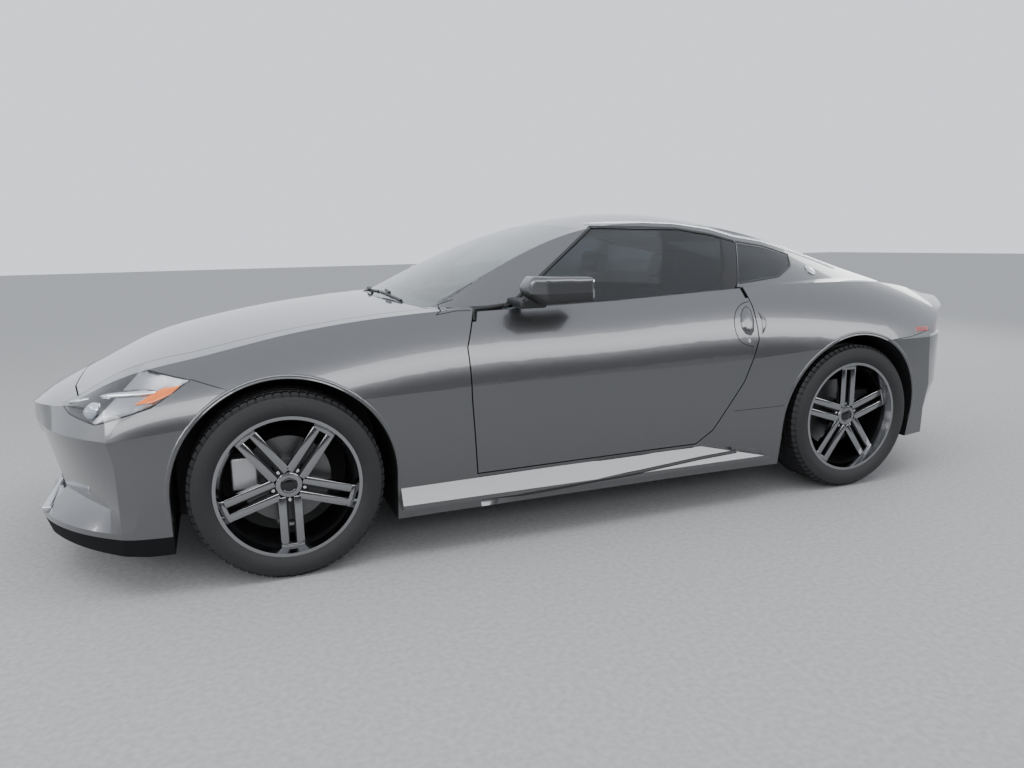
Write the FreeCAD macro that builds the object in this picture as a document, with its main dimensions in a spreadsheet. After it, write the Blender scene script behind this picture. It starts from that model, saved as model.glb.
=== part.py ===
import FreeCAD
import Part
import math
import os
import Sketcher
from FreeCAD import Placement, Rotation, Vector

# Two-seat coupe car with a long bonnet, a fastback hatch and two doors.
# +X points to the tail, +Y to the right-hand side, +Z up, in millimetres.
# The origin is on the ground, under the middle of the car's length and width.

os.makedirs("parts", exist_ok=True)
doc = FreeCAD.newDocument("coupe_car")
sheet = doc.addObject("Spreadsheet::Sheet", "Dims")

DIMENSIONS = {
    # overall
    "overallLength": 4380.0,
    "frontOverhang": 905.0,
    "wheelBase": 2550.0,
    "frontAxle": "=-overallLength / 2 + frontOverhang",
    "rearAxle": "=frontAxle + wheelBase",
    "underside": 150.0,
    "roofHeight": 1308.0,
    "trackHalf": 780.0,
    # wheels and tyres
    "tyreRadius": 339.0,
    "tyreHalfWidth": 122.0,
    "treadHalfWidth": 98.0,
    "shoulderDrop": 14.0,
    "sidewallStep": 34.0,
    "rimFlangeRadius": 257.0,
    "rimSeatRadius": 241.0,
    "rimInnerRadius": 229.0,
    "rimHalfWidth": 112.0,
    "rimFlangeWidth": 12.0,
    "rimStepDepth": 45.0,
    "hubFace": 30.0,
    "wheelDiscThickness": 30.0,
    "spokeDepth": 26.0,
    "spokeRoot": 5.0,
    "spokeTip": 12.0,
    "spokeWidth": 21.0,
    "hubDiscRadius": 72.0,
    "lugCircleRadius": 57.15,
    "lugHoleRadius": 8.0,
    "spigotRadius": 33.0,
    "hubCapThickness": 10.0,
    "runningGap": 0.3,
    # brakes
    "brakeDiscRadius": 160.0,
    "brakeDiscThickness": 28.0,
    "brakeHatRadius": 78.0,
    "brakeHatDepth": 40.0,
    "brakeHatWall": 8.0,
    "caliperClearance": 6.0,
    "caliperLength": 90.0,
    "caliperWidth": 87.0,
    "caliperHeight": 120.0,
    # openings round the wheels
    "archRadius": 388.0,
    "frontWellInnerY": 470.0,
    "rearWellInnerY": 600.0,
    # panel gaps
    "movingGap": 5.0,
    "seatGap": 0.3,
    # panel thicknesses
    "lidEdge": 10.0,
    "lidEdgeBand": 16.0,
    "glassThickness": 5.0,
    "edgeStep": 14.0,
    "doorEdgeDepth": 85.0,
    "doorHingeY": 912.0,
    # cabin
    "cabinHalfWidth": 742.0,
    "tunnelHalfWidth": 140.0,
    "tunnelTop": 330.0,
    "tunnelWall": 25.0,
    "seatWidth": 460.0,
    "seatOffset": 385.0,
    "headrestWidth": 270.0,
    "dashHalfWidth": 728.0,
    "consoleWidth": 200.0,
    "steeringWheelRadius": 180.0,
    "steeringRimRadius": 15.0,
    "steeringBossRadius": 55.0,
    "steeringBossDepth": 50.0,
    "steeringColumnRadius": 32.0,
    # running gear
    "knuckleHalfWidth": 45.0,
    "knuckleThickness": 55.0,
    "knuckleTop": 120.0,
    "ballJointDrop": 185.0,
    "armThickness": 23.0,
    "armHalfWidth": 24.0,
    "subframeTop": 215.0,
    "bayHalfWidth": 440.0,
    "engineLength": 560.0,
    "engineWidth": 480.0,
    "engineTop": 760.0,
    "gearboxRadius": 85.0,
    "gearboxHeight": 215.0,
    "propshaftRadius": 35.0,
    "rearRoomTop": 430.0,
    "differentialRadius": 100.0,
    "mufflerRoomTop": 420.0,
    "mufflerBottom": 230.0,
    "exhaustTipRadius": 50.0,
    "exhaustTipY": 470.0,
    "exhaustTipZ": 340.0,
    "exhaustTipEnd": 2135.0,
    # front and tail
    "grilleHalfWidth": 430.0,
    "grilleBottom": 296.0,
    "grilleTop": 520.0,
    "grilleRecess": 65.0,
    "grilleBarHeight": 8.0,
    "grilleBarDepth": 25.0,
    "splitterTop": 215.0,
    "plateWidth": 320.0,
    "plateHeight": 165.0,
    "plateMiddle": 585.0,
    "plateRecess": 14.0,
    "plateHoleSpacing": 178.0,
    "plateHoleRadius": 3.5,
    "plateHoleDepth": 14.0,
    "jackPadLength": 90.0,
    "jackPadWidth": 44.0,
    "jackPadDepth": 12.0,
}
for row, (alias, value) in enumerate(DIMENSIONS.items(), start=1):
    sheet.set(f"A{row}", alias)
    sheet.set(f"B{row}", str(value))
    sheet.setAlias(f"B{row}", alias)
doc.recompute()


def dim(alias):
    """Read one driving dimension from the sheet."""
    return float(sheet.get(alias))


FRONT_END = -dim("overallLength") / 2
REAR_END = dim("overallLength") / 2
FRONT_AXLE = dim("frontAxle")
REAR_AXLE = dim("rearAxle")
AXLE_Z = dim("tyreRadius")
UNDERSIDE = dim("underside")
SIDES = {"left": -1, "right": 1}
gap = dim("movingGap")
seat_gap = dim("seatGap")
cabin_y = dim("cabinHalfWidth")

# Body below the glass, one row a station along the car. Columns: x, bottom z,
# half width at the bottom, half width at the waist, waist z, half width at the shoulder,
# shoulder z, crown z on the centre line. The two ends are trimmed in plan further down.
BODY_SECTIONS = [
    (FRONT_END, UNDERSIDE, 620, 620, 520, 520, 572, 592),
    (FRONT_END + 80, UNDERSIDE, 680, 670, 520, 560, 610, 645),
    (FRONT_END + 200, UNDERSIDE, 770, 760, 530, 612, 650, 702),
    (FRONT_END + 390, UNDERSIDE, 860, 864, 560, 738, 746, 790),
    (FRONT_END + 630, UNDERSIDE, 878, 903, 590, 785, 806, 858),
    (FRONT_AXLE, UNDERSIDE, 866, 917, 620, 782, 862, 905),
    (FRONT_AXLE + 435, UNDERSIDE, 852, 908, 640, 788, 915, 938),
    (0, UNDERSIDE, 846, 900, 650, 790, 940, 950),
    (REAR_AXLE - 560, UNDERSIDE, 850, 905, 660, 795, 962, 975),
    (REAR_AXLE, UNDERSIDE + 10, 862, 922, 690, 770, 965, 1000),
    (REAR_END - 480, UNDERSIDE + 50, 850, 892, 690, 712, 925, 955),
    (REAR_END - 190, UNDERSIDE + 90, 800, 815, 680, 632, 862, 886),
    (REAR_END - 60, UNDERSIDE + 150, 720, 730, 670, 560, 853, 873),
    (REAR_END, UNDERSIDE + 180, 660, 670, 660, 520, 846, 866),
]
SIDE_BULGE = 8
SHOULDER_BULGE = 26

# Glasshouse. Columns: x, half width at the belt, belt z, half width at the roof rail,
# rail z, crown z on the centre line.
ROOF_SECTIONS = [
    (-840, 690, 840, 590, 868, 896),
    (-650, 750, 885, 640, 950, 1008),
    (-320, 780, 890, 605, 1108, 1150),
    (20, 790, 900, 560, 1222, 1262),
    (340, 790, 900, 535, 1250, dim("roofHeight")),
    (850, 780, 900, 540, 1200, 1252),
    (1290, 740, 880, 540, 1075, 1130),
    (1740, 620, 840, 500, 950, 1000),
    (2050, 500, 780, 440, 846, 868),
]
RAIL_BULGE = 10

# Outline of each end in plan, at levels up the car. Columns: z, then distances in from
# the end and half widths: the tip on the centre line, the end of the middle arc (in, half
# width), the corner (in, half width) and the start of the straight side (in, half width).
NOSE_OUTLINES = [
    (100, 58, 95, 450, 215, 650, 358, 818),
    (dim("splitterTop"), 32, 64, 470, 190, 690, 358, 850),
    (dim("splitterTop") + 20, 32, 64, 470, 190, 690, 358, 852),
    (310, 54, 138, 430, 255, 668, 358, 850),
    (555, 0, 80, 420, 205, 690, 358, 862),
    (645, 3, 86, 418, 232, 668, 385, 858),
    (1600, 3, 86, 418, 232, 668, 385, 858),
]
TAIL_OUTLINES = [
    (100, 95, 120, 420, 240, 640, 490, 890),
    (330, 80, 105, 420, 222, 644, 490, 895),
    (450, 12, 37, 420, 155, 650, 490, 900),
    (692, 8, 33, 420, 150, 650, 490, 900),
    (702, 30, 55, 420, 170, 646, 490, 898),
    (806, 30, 55, 420, 170, 646, 490, 898),
    (816, 0, 25, 420, 145, 650, 490, 900),
    (1600, 0, 25, 420, 145, 650, 490, 900),
]
END_WIDE = (700, 1000)
END_BACK = (1400, 1000)


def bulged_arc(start, end, bulge):
    """Arc from start to end across the car, standing out by bulge."""
    middle = (start + end) / 2
    chord = end - start
    out = Vector(0, -chord.z, chord.y)
    out.normalize()
    return Part.Arc(start, middle - out * bulge, end).toShape()


def mirrored(point):
    return Vector(point.x, -point.y, point.z)


def body_section(station):
    """Closed section of lines and arcs across the body."""
    x, bottom, sill, waist, waist_z, shoulder, shoulder_z, crown = station
    low = Vector(x, sill, bottom)
    mid = Vector(x, waist, waist_z)
    high = Vector(x, shoulder, shoulder_z)
    return Part.Wire([
        Part.makeLine(mirrored(low), low),
        bulged_arc(low, mid, SIDE_BULGE),
        bulged_arc(mid, high, SHOULDER_BULGE),
        Part.Arc(high, Vector(x, 0, crown), mirrored(high)).toShape(),
        bulged_arc(mirrored(high), mirrored(mid), SHOULDER_BULGE),
        bulged_arc(mirrored(mid), mirrored(low), SIDE_BULGE),
    ])


def roof_section(station, inset):
    """Closed section across the glasshouse, brought in by inset."""
    x, belt, belt_z, rail, rail_z, crown = station
    low = Vector(x, belt - inset, belt_z - inset)
    high = Vector(x, rail - inset, rail_z - inset)
    return Part.Wire([
        Part.makeLine(mirrored(low), low),
        bulged_arc(low, high, RAIL_BULGE),
        Part.Arc(high, Vector(x, 0, crown - inset), mirrored(high)).toShape(),
        bulged_arc(mirrored(high), mirrored(low), RAIL_BULGE),
    ])


def roof_loft(inset=0.0):
    return Part.makeLoft([roof_section(row, inset) for row in ROOF_SECTIONS], True, False, False, 5)


def end_wire(row, end_x, inward):
    """Outline in plan of one end at one level: arcs round the end, then straight sides."""
    z, tip_in, arc_in, arc_y, corner_in, corner_y, side_in, side_y = row
    tip = Vector(end_x + inward * tip_in, 0, z)
    arc_end = Vector(end_x + inward * arc_in, arc_y, z)
    corner = Vector(end_x + inward * corner_in, corner_y, z)
    side = Vector(end_x + inward * side_in, side_y, z)
    wide, back = (Vector(end_x + inward * along, across, z) for along, across in (END_WIDE, END_BACK))
    return Part.Wire([
        Part.Arc(mirrored(arc_end), tip, arc_end).toShape(),
        Part.Arc(arc_end, corner, side).toShape(),
        Part.makeLine(side, wide),
        Part.makeLine(wide, back),
        Part.makeLine(back, mirrored(back)),
        Part.makeLine(mirrored(back), mirrored(wide)),
        Part.makeLine(mirrored(wide), mirrored(side)),
        Part.Arc(mirrored(side), mirrored(corner), mirrored(arc_end)).toShape(),
    ])


def prism(outline, plane, low, high):
    """Prism of an outline drawn in the XZ, XY or YZ plane, between two levels."""
    if plane == "XZ":
        points = [Vector(a, low, b) for a, b in outline]
        direction = Vector(0, high - low, 0)
    elif plane == "XY":
        points = [Vector(a, b, low) for a, b in outline]
        direction = Vector(0, 0, high - low)
    else:
        points = [Vector(low, a, b) for a, b in outline]
        direction = Vector(high - low, 0, 0)
    return Part.Face(Part.makePolygon(points + points[:1])).extrude(direction)


def grown(outline, distance):
    """The outline offset outwards by distance, with sharp corners."""
    points = [Vector(a, b, 0) for a, b in outline]
    face = Part.Face(Part.makePolygon(points + points[:1]))
    wire = face.makeOffset2D(distance, 2).OuterWire
    return [(vertex.X, vertex.Y) for vertex in wire.OrderedVertexes]


def both_sides(outline):
    """A plan outline of the right half of a symmetric panel, closed across the middle."""
    return outline + [(a, -b) for a, b in reversed(outline) if b > 0]


ALL_ABOVE = 1600
OUTSIDE = 1100


def plan_prism(outline, low, growth=0.0):
    """Everything above low inside a symmetric plan outline, grown by a clearance."""
    full = both_sides(outline)
    return prism(grown(full, growth) if growth else full, "XY", low, ALL_ABOVE)


def side_prism(outline, inner, growth=0.0):
    """Everything right of inner inside a side-view outline, grown by a clearance."""
    return prism(grown(outline, growth) if growth else outline, "XZ", inner, OUTSIDE)


def box(low, high):
    return Part.makeBox(high[0] - low[0], high[1] - low[1], high[2] - low[2], Vector(*low))


def mirror_image(shape):
    return shape.mirror(Vector(0, 0, 0), Vector(0, 1, 0))


def whole(half):
    """The full solid from its right half."""
    return half.fuse(mirror_image(half)).removeSplitter()


exported = []


def feature(name, shape):
    """A finished solid of the body as its own object."""
    result = doc.addObject("Part::Feature", name)
    result.Label = name
    result.Shape = shape
    result.Placement = Placement()
    exported.append(result)
    return result


def pair(name, shape):
    """The right-hand solid and its mirror image, as two pieces."""
    feature(f"{name}_right", shape)
    feature(f"{name}_left", mirror_image(shape))


def both(name, shape):
    """The right-hand solid and its mirror image, as one piece of two solids."""
    feature(name, Part.makeCompound([shape, mirror_image(shape)]))


# Outlines of the panels. Side views are x, z and plan views are x, y of the right half.
DOOR = [(-551, 930), (-604, 790), (-600, 600), (-577, 296), (419, 301), (500, 355),
        (640, 560), (710, 740), (706, 880), (687, 972), (60, 945)]
DOOR_GLASS = [(-381, 928), (70, 1226), (500, 1214), (672, 1186), (795, 1152), (705, 975), (665, 940), (60, 912),
              (-300, 905)]
QUARTER_GLASS = [(714, 978), (806, 1150), (960, 1128), (1100, 1088), (1075, 1045), (960, 1000)]
FENDER = [(-1890, 760), (-1573, 742), (-1433, 691), (-1300, UNDERSIDE), (-560, UNDERSIDE), (-577, 290),
          (-606, 600), (-611, 790), (-556, 935), (-640, 1000), (-1890, 1000)]
FENDER_INNER = 600
HEADLAMP = [(-2012, 652), (-1975, 622), (-1885, 603), (-1700, 660), (-1573, 742), (-1800, 800), (-2012, 720)]
LAMP_INNER = 560
HOOD = [(-1995, 0), (-1985, 400), (-1950, 590), (-1570, 690), (-1100, 700), (-712, 690), (-750, 480), (-790, 0)]
HOOD_LOW = 500
HOOD_FLOOR = [(-1930, 640), (-1800, 712), (-1560, 782), (-1285, 832), (-870, 880)]
HOOD_ROOM = [(-2100, 560), (-1960, 605), (-1800, 680), (-1560, 755), (-1285, 806), (-870, 858), (-600, 888)]
WINDSCREEN = [(-784, 0), (-744, 480), (-710, 655), (-640, 668), (14, 522), (-4, 260), (-10, 0)]
SCREEN_LOW = 905
ROOF = [(0, 0), (8, 280), (24, 528), (440, 512), (846, 492), (846, 0)]
ROOF_FLOOR = [(-20, 1206), (20, 1210), (340, 1238), (846, 1190), (900, 1180)]
HATCH = [(856, 0), (856, 490), (1290, 505), (1740, 480), (2030, 560), (2050, 0)]
HATCH_LOW = 780
HATCH_FLOOR = [(800, 1192), (856, 1180), (1290, 1058), (1740, 935), (1990, 850)]
HATCH_EDGE_X = 1985
REAR_GLASS = [(930, 0), (930, 430), (1290, 445), (1610, 420), (1640, 0)]
FRONT_BUMPER = [(-2300, 0), (-1300, 0), (-1300, 640), (-1433, 691), (-1573, 742), (-1890, 760), (-2300, 760)]
BUMPER_BACK = -2005
BUMPER_INNER = 600
REAR_BUMPER = [(1400, 0), (1400, 690), (1590, 700), (1735, 722), (2300, 722), (2300, 0)]
REAR_CORE = (2030, 540)
DIFFUSER_START = 2010
DIFFUSER_TOP = 430
DIFFUSER_HALF_WIDTH = 560
TAIL_LAMP = [(1744, 720), (2000, 708), (2300, 708), (2300, 796), (2000, 788), (1800, 740)]
TAIL_LAMP_BACK = [
    (1700, 0), (1700, 790), (1900, 700), (2030, 560), (2085, 400), (2100, 200), (2300, 200), (2300, 0),
]

# Spaces inside. Side views are x, z, with their half width beside them.
CABIN_LOWER = [(-830, 330), (-700, 190), (690, 190), (830, 640), (860, 900), (-640, 930), (-830, 860)]
CABIN_UPPER = [(-700, 870), (-640, 905), (-320, 1062), (20, 1178), (340, 1212), (850, 1162), (870, 870)]
CABIN_CROSS = [(-cabin_y, 860), (cabin_y, 860), (cabin_y, 890), (495, 1232), (-495, 1232), (-cabin_y, 890)]
LUGGAGE_LOWER = [(820, 640), (1900, 660), (1900, 800), (820, 800)]
LUGGAGE_LOWER_Y = 520
LUGGAGE_UPPER = [(850, 790), (1900, 790), (1900, 880), (1740, 945), (1290, 1068), (850, 1175)]
LUGGAGE_UPPER_Y = 450
BAY_FRONT = -1960
BAY_BACK = -870
ARM_SLOT_TOP = 176

# The outer form: the body, trimmed round both ends, with the glasshouse on it.
body_form = Part.makeLoft([body_section(row) for row in BODY_SECTIONS], True, False, False, 5)
nose = Part.makeLoft([end_wire(row, FRONT_END, 1) for row in NOSE_OUTLINES], True, True)
tail = Part.makeLoft([end_wire(row, REAR_END, -1) for row in TAIL_OUTLINES], True, True)
middle = box((FRONT_END + END_BACK[0], -END_BACK[1], 100), (REAR_END - END_BACK[0], END_BACK[1], ALL_ABOVE))
body_form = body_form.common(nose.fuse([middle, tail]))
roof_form = roof_loft()
outer_form = body_form.fuse(roof_form)
right_half = box((-2400, 0, 0), (2400, 1200, ALL_ABOVE))
half_form = outer_form.common(right_half)


def underside(rows, depth):
    """Everything below a faceted copy of the body's top, let down by depth."""
    wires = []
    for x, _, _, _, _, shoulder, shoulder_z, crown in rows:
        levels = [(share * shoulder, crown - (crown - shoulder_z) * share ** 2 - depth) for share in (0, 0.5, 1)]
        levels += [(OUTSIDE, shoulder_z - 2 * shoulder), (OUTSIDE, -100)]
        points = [Vector(x, y, z) for y, z in levels] + [Vector(x, -y, z) for y, z in reversed(levels[1:])]
        wires.append(Part.makePolygon(points + points[:1]))
    return Part.makeLoft(wires, True, True)


def below(floor):
    """Everything below a side-view line, across the car."""
    return prism([(floor[0][0], -100)] + floor + [(floor[-1][0], -100)], "XZ", -OUTSIDE, OUTSIDE)


def above(floor):
    return prism([(floor[0][0], ALL_ABOVE)] + floor + [(floor[-1][0], ALL_ABOVE)], "XZ", -OUTSIDE, OUTSIDE)


# Bonnet: a thin edge all round and a deeper panel set in from it, hinged at the windscreen.
hood_panel = plan_prism(HOOD, HOOD_LOW, -dim("lidEdgeBand")).common(above(HOOD_FLOOR))
hood_under = underside(BODY_SECTIONS[:8], dim("lidEdge")).cut(hood_panel)
feature("hood", body_form.common(plan_prism(HOOD, HOOD_LOW).cut(hood_under)))

# Hatch: thin along its rear edge, which swings out as it lifts, with the glass bonded in.
hatch_band = box((HATCH_EDGE_X, -OUTSIDE, 0), (2300, OUTSIDE, 1000))
hatch_under = underside(BODY_SECTIONS[9:], dim("lidEdge")).common(hatch_band)
hatch_under = hatch_under.fuse(below(HATCH_FLOOR))
hatch_zone = plan_prism(HATCH, HATCH_LOW).cut([hatch_under, plan_prism(REAR_GLASS, HATCH_LOW, seat_gap)])
feature("hatch", outer_form.common(hatch_zone))

glass_skin = roof_form.cut(roof_loft(dim("glassThickness")))
feature("rear_glass", glass_skin.common(plan_prism(REAR_GLASS, HATCH_LOW)))
feature("windscreen", glass_skin.common(plan_prism(WINDSCREEN, SCREEN_LOW)))
roof_zone = plan_prism(ROOF, 1000).common(above(ROOF_FLOOR))
feature("roof_panel", roof_form.common(roof_zone))

# Doors, frameless: each is as thick as the whole side, with its glass standing on the belt.
# The inner layer is set in all round, so that the door swings clear of its opening.
door_skin = side_prism(DOOR, dim("doorHingeY") - dim("doorEdgeDepth"))
door_inner = side_prism(DOOR, cabin_y, -dim("edgeStep"))
door = half_form.common(door_skin.fuse(door_inner).removeSplitter())
pair("door", door)
WINDOW_INNER = 400
pane = glass_skin.common(side_prism(DOOR_GLASS, WINDOW_INNER)).cut(door)
pair("door_glass", max(pane.Solids, key=lambda solid: solid.Volume))
both("quarter_glass", glass_skin.common(side_prism(QUARTER_GLASS, WINDOW_INNER)))

# Hinge leaves, which fill the gap at the front of each door, the bonnet and the hatch.
DOOR_LEAVES = [box((-700, 755, leaf_z), (-450, 800, leaf_z + 60)) for leaf_z in (380, 700)]
door_leaves = [leaf.cut(side_prism(DOOR, cabin_y, seat_gap - dim("edgeStep"))) for leaf in DOOR_LEAVES]
hood_leaf = box((-745, 640, 896), (-690, 700, 920)).cut(plan_prism(HOOD, HOOD_LOW, seat_gap))
hatch_leaf = box((845, 350, 1150), (856 - seat_gap, 420, 1214))

# Holes in the body, on the right-hand side.

def wheel_well(axle_x, inner):
    arch = dim("archRadius")
    well = Part.makeCylinder(arch, 700, Vector(axle_x, inner, AXLE_Z), Vector(0, 1, 0))
    below_axle = [(axle_x - arch, -50), (axle_x + arch, -50), (axle_x + arch, AXLE_Z), (axle_x - arch, AXLE_Z)]
    return well.fuse(side_prism(below_axle, inner))


cabin = prism(CABIN_LOWER, "XZ", -cabin_y, cabin_y)
cabin = cabin.fuse(prism(CABIN_UPPER, "XZ", -cabin_y, cabin_y).common(prism(CABIN_CROSS, "YZ", -900, 1000)))
cabin = cabin.cut(box((-900, -dim("tunnelHalfWidth"), 0), (700, dim("tunnelHalfWidth"), dim("tunnelTop"))))
tunnel_room = dim("tunnelHalfWidth") - dim("tunnelWall")
under_rooms = [
    box((BAY_FRONT, -dim("bayHalfWidth"), 0), (BAY_BACK, dim("bayHalfWidth"), 1000)),
    box((BAY_BACK - 10, -tunnel_room, 0), (REAR_AXLE - 240, tunnel_room, dim("tunnelTop") - dim("tunnelWall"))),
    box((REAR_AXLE - 250, -610, 0), (REAR_AXLE + 250, 610, dim("rearRoomTop"))),
    box((REAR_AXLE + 240, -520, 0), (REAR_CORE[0], 520, dim("mufflerRoomTop"))),
    box((FRONT_AXLE - 80, -500, 0), (FRONT_AXLE + 80, 500, ARM_SLOT_TOP)),
]
luggage = [prism(LUGGAGE_LOWER, "XZ", -LUGGAGE_LOWER_Y, LUGGAGE_LOWER_Y),
           prism(LUGGAGE_UPPER, "XZ", -LUGGAGE_UPPER_Y, LUGGAGE_UPPER_Y)]
front_well = wheel_well(FRONT_AXLE, dim("frontWellInnerY"))
rear_well = wheel_well(REAR_AXLE, dim("rearWellInnerY"))
hood_space = plan_prism(HOOD, HOOD_LOW, gap).common(above(HOOD_ROOM)).cut(hood_leaf)
hatch_space = plan_prism(HATCH, HATCH_LOW, gap).cut(hatch_under.translated(Vector(0, 0, -gap))).cut(hatch_leaf)
screen_space = plan_prism(WINDSCREEN, SCREEN_LOW, seat_gap)
windows = [side_prism(DOOR_GLASS, WINDOW_INNER, gap), side_prism(QUARTER_GLASS, WINDOW_INNER, seat_gap)]
door_hole = side_prism(DOOR, cabin_y, gap).cut(door_leaves)
lamp_hole = side_prism(HEADLAMP, LAMP_INNER)

# Lamps, wings and bumpers: each takes its share of the outer form, less the holes.
hood_edge = plan_prism(HOOD, HOOD_LOW, gap)
both("headlamps", half_form.common(lamp_hole.cut(hood_edge)))
fender_zone = side_prism(FENDER, FENDER_INNER)
fender_holes = [front_well, hood_space, screen_space, door_hole, lamp_hole, cabin] + windows[:1]
fender = half_form.common(fender_zone.cut(fender_holes))
pair("front_fender", max(fender.Solids, key=lambda solid: solid.Volume))

front_zone = prism(FRONT_BUMPER, "XZ", 0, OUTSIDE).cut(box((BUMPER_BACK, -1, 0), (0, BUMPER_INNER, 1000)))
splitter_zone = box((-2300, -1, 0), (0, OUTSIDE, dim("splitterTop")))
grille_opening = box((-2300, -1, dim("grilleBottom")), (BUMPER_BACK, dim("grilleHalfWidth"), dim("grilleTop")))
front_holes = [front_well, hood_space, lamp_hole]
front_bumper = front_zone.cut(front_holes + [splitter_zone, grille_opening])
feature("front_bumper", whole(half_form.common(front_bumper)))
feature("front_splitter", whole(half_form.common(front_zone.common(splitter_zone).cut(front_well))))

lamp_zone = side_prism(TAIL_LAMP, 0).cut(prism(TAIL_LAMP_BACK, "XY", 0, 1000))
both("tail_lamps", half_form.common(lamp_zone))
rear_zone = prism(REAR_BUMPER, "XZ", 0, OUTSIDE).cut(box((0, -1, 0), (REAR_CORE[0], REAR_CORE[1], 1000)))
rear_zone = rear_zone.cut([lamp_zone, rear_well])
diffuser_zone = box((DIFFUSER_START, -1, 0), (2300, DIFFUSER_HALF_WIDTH, DIFFUSER_TOP))
tip_hole = Part.makeCylinder(dim("exhaustTipRadius") + seat_gap, 400,
                             Vector(REAR_END - 300, dim("exhaustTipY"), dim("exhaustTipZ")), Vector(1, 0, 0))
plate_half = dim("plateWidth") / 2
plate_low = dim("plateMiddle") - dim("plateHeight") / 2
plate_x = REAR_END - dim("plateRecess")
plate_seat = box((plate_x, -1, plate_low), (2300, plate_half, plate_low + dim("plateHeight")))
plate_hole = Part.makeCylinder(dim("plateHoleRadius"), dim("plateHoleDepth") + 50,
                               Vector(plate_x - dim("plateHoleDepth"), dim("plateHoleSpacing") / 2, dim("plateMiddle")),
                               Vector(1, 0, 0))
feature("rear_bumper", whole(half_form.common(rear_zone.cut([diffuser_zone, plate_seat, plate_hole]))))
feature("rear_diffuser", whole(half_form.common(rear_zone.common(diffuser_zone).cut(tip_hole))))

# What is left is the body itself, with a flat pad under each sill end for the jack.
PAD_X = (FRONT_AXLE + 785, REAR_AXLE - 480)
pads = [box((pad_x - dim("jackPadLength") / 2, 770, UNDERSIDE - dim("jackPadDepth")),
            (pad_x + dim("jackPadLength") / 2, 770 + dim("jackPadWidth"), UNDERSIDE + 5)) for pad_x in PAD_X]
holes = [cabin] + under_rooms + luggage + [front_well, rear_well, hood_space, hatch_space, screen_space, roof_zone]
holes += windows + [door_hole, lamp_hole, fender_zone, front_zone, rear_zone, lamp_zone]
shell = half_form.cut(holes)
shell = max(shell.Solids, key=lambda solid: solid.Volume).fuse(pads)
feature("body_shell", whole(shell))

# Wheels. Each is drawn about its own axis, with the outer face towards +Z.
XY, XZ = "XY_Plane", "XZ_Plane"
SPOKE_COUNT = 5
SPOKE_TURN = {"front": 36, "rear": 0}


def new_body(label):
    body = doc.addObject("PartDesign::Body", label)
    body.Label = label
    return body


def new_sketch(body, plane):
    sketch = body.newObject("Sketcher::SketchObject", f"{body.Name}_outline")
    support = [item for item in body.Origin.OriginFeatures if item.Role == plane][0]
    sketch.AttachmentSupport = [(support, "")]
    sketch.MapMode = "FlatFace"
    return sketch


def bind(sketch, constraint, expression):
    index = sketch.addConstraint(constraint)
    sketch.setExpression(f"Constraints[{index}]", expression)


def value_of(sketch, expression):
    return float(sketch.evalExpression(expression))


def draw_polygon(sketch, corners):
    """A closed outline whose corners are placed by expressions of the sheet."""
    first = sketch.GeometryCount
    points = [Vector(value_of(sketch, a), value_of(sketch, b), 0) for a, b in corners]
    count = len(points)
    for index in range(count):
        sketch.addGeometry(Part.LineSegment(points[index], points[(index + 1) % count]), False)
    for index in range(count):
        sketch.addConstraint(Sketcher.Constraint("Coincident", first + index, 2, first + (index + 1) % count, 1))
    for index, (a, b) in enumerate(corners):
        bind(sketch, Sketcher.Constraint("DistanceX", -1, 1, first + index, 1, points[index].x), a)
        bind(sketch, Sketcher.Constraint("DistanceY", -1, 1, first + index, 1, points[index].y), b)


def draw_circle(sketch, a, b, radius):
    centre = Vector(value_of(sketch, a), value_of(sketch, b), 0)
    size = value_of(sketch, radius)
    index = sketch.addGeometry(Part.Circle(centre, Vector(0, 0, 1), size), False)
    bind(sketch, Sketcher.Constraint("DistanceX", -1, 1, index, 3, centre.x), a)
    bind(sketch, Sketcher.Constraint("DistanceY", -1, 1, index, 3, centre.y), b)
    bind(sketch, Sketcher.Constraint("Radius", index, size), radius)


def revolved(body, corners):
    sketch = new_sketch(body, XZ)
    draw_polygon(sketch, corners)
    solid = body.newObject("PartDesign::Revolution", f"{body.Name}_turned")
    solid.Profile = sketch
    solid.ReferenceAxis = (sketch, ["V_Axis"])
    solid.Angle = 360
    return solid


def padded(body, plane, draw, length, offset="0"):
    sketch = new_sketch(body, plane)
    sketch.setExpression("AttachmentOffset.Base.z", offset)
    draw(sketch)
    solid = body.newObject("PartDesign::Pad", f"{body.Name}_pad")
    solid.Profile = sketch
    solid.setExpression("Length", length)
    return solid


def drilled(body, name, circle, length, offset):
    """A round hole through the body, from its drawing plane towards +Z."""
    hole = body.newObject("PartDesign::Pocket", name)
    sketch = new_sketch(body, XY)
    sketch.setExpression("AttachmentOffset.Base.z", offset)
    draw_circle(sketch, *circle)
    hole.Profile = sketch
    hole.setExpression("Length", length)
    hole.Reversed = True
    return hole


def patterned(body, repeated, count):
    pattern = body.newObject("PartDesign::PolarPattern", f"{body.Name}_round")
    pattern.Originals = [repeated]
    axis = [item for item in body.Origin.OriginFeatures if item.Role == "Z_Axis"][0]
    pattern.Axis = (axis, [""])
    pattern.Angle = 360
    pattern.Occurrences = count
    body.Tip = pattern
    return pattern


def kept(item):
    exported.append(item)
    return item


def wheel_placement(axle_x, side):
    turn = Rotation(Vector(1, 0, 0), -90 * side)
    return Placement(Vector(axle_x, side * dim("trackHalf"), AXLE_Z), turn)


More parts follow.
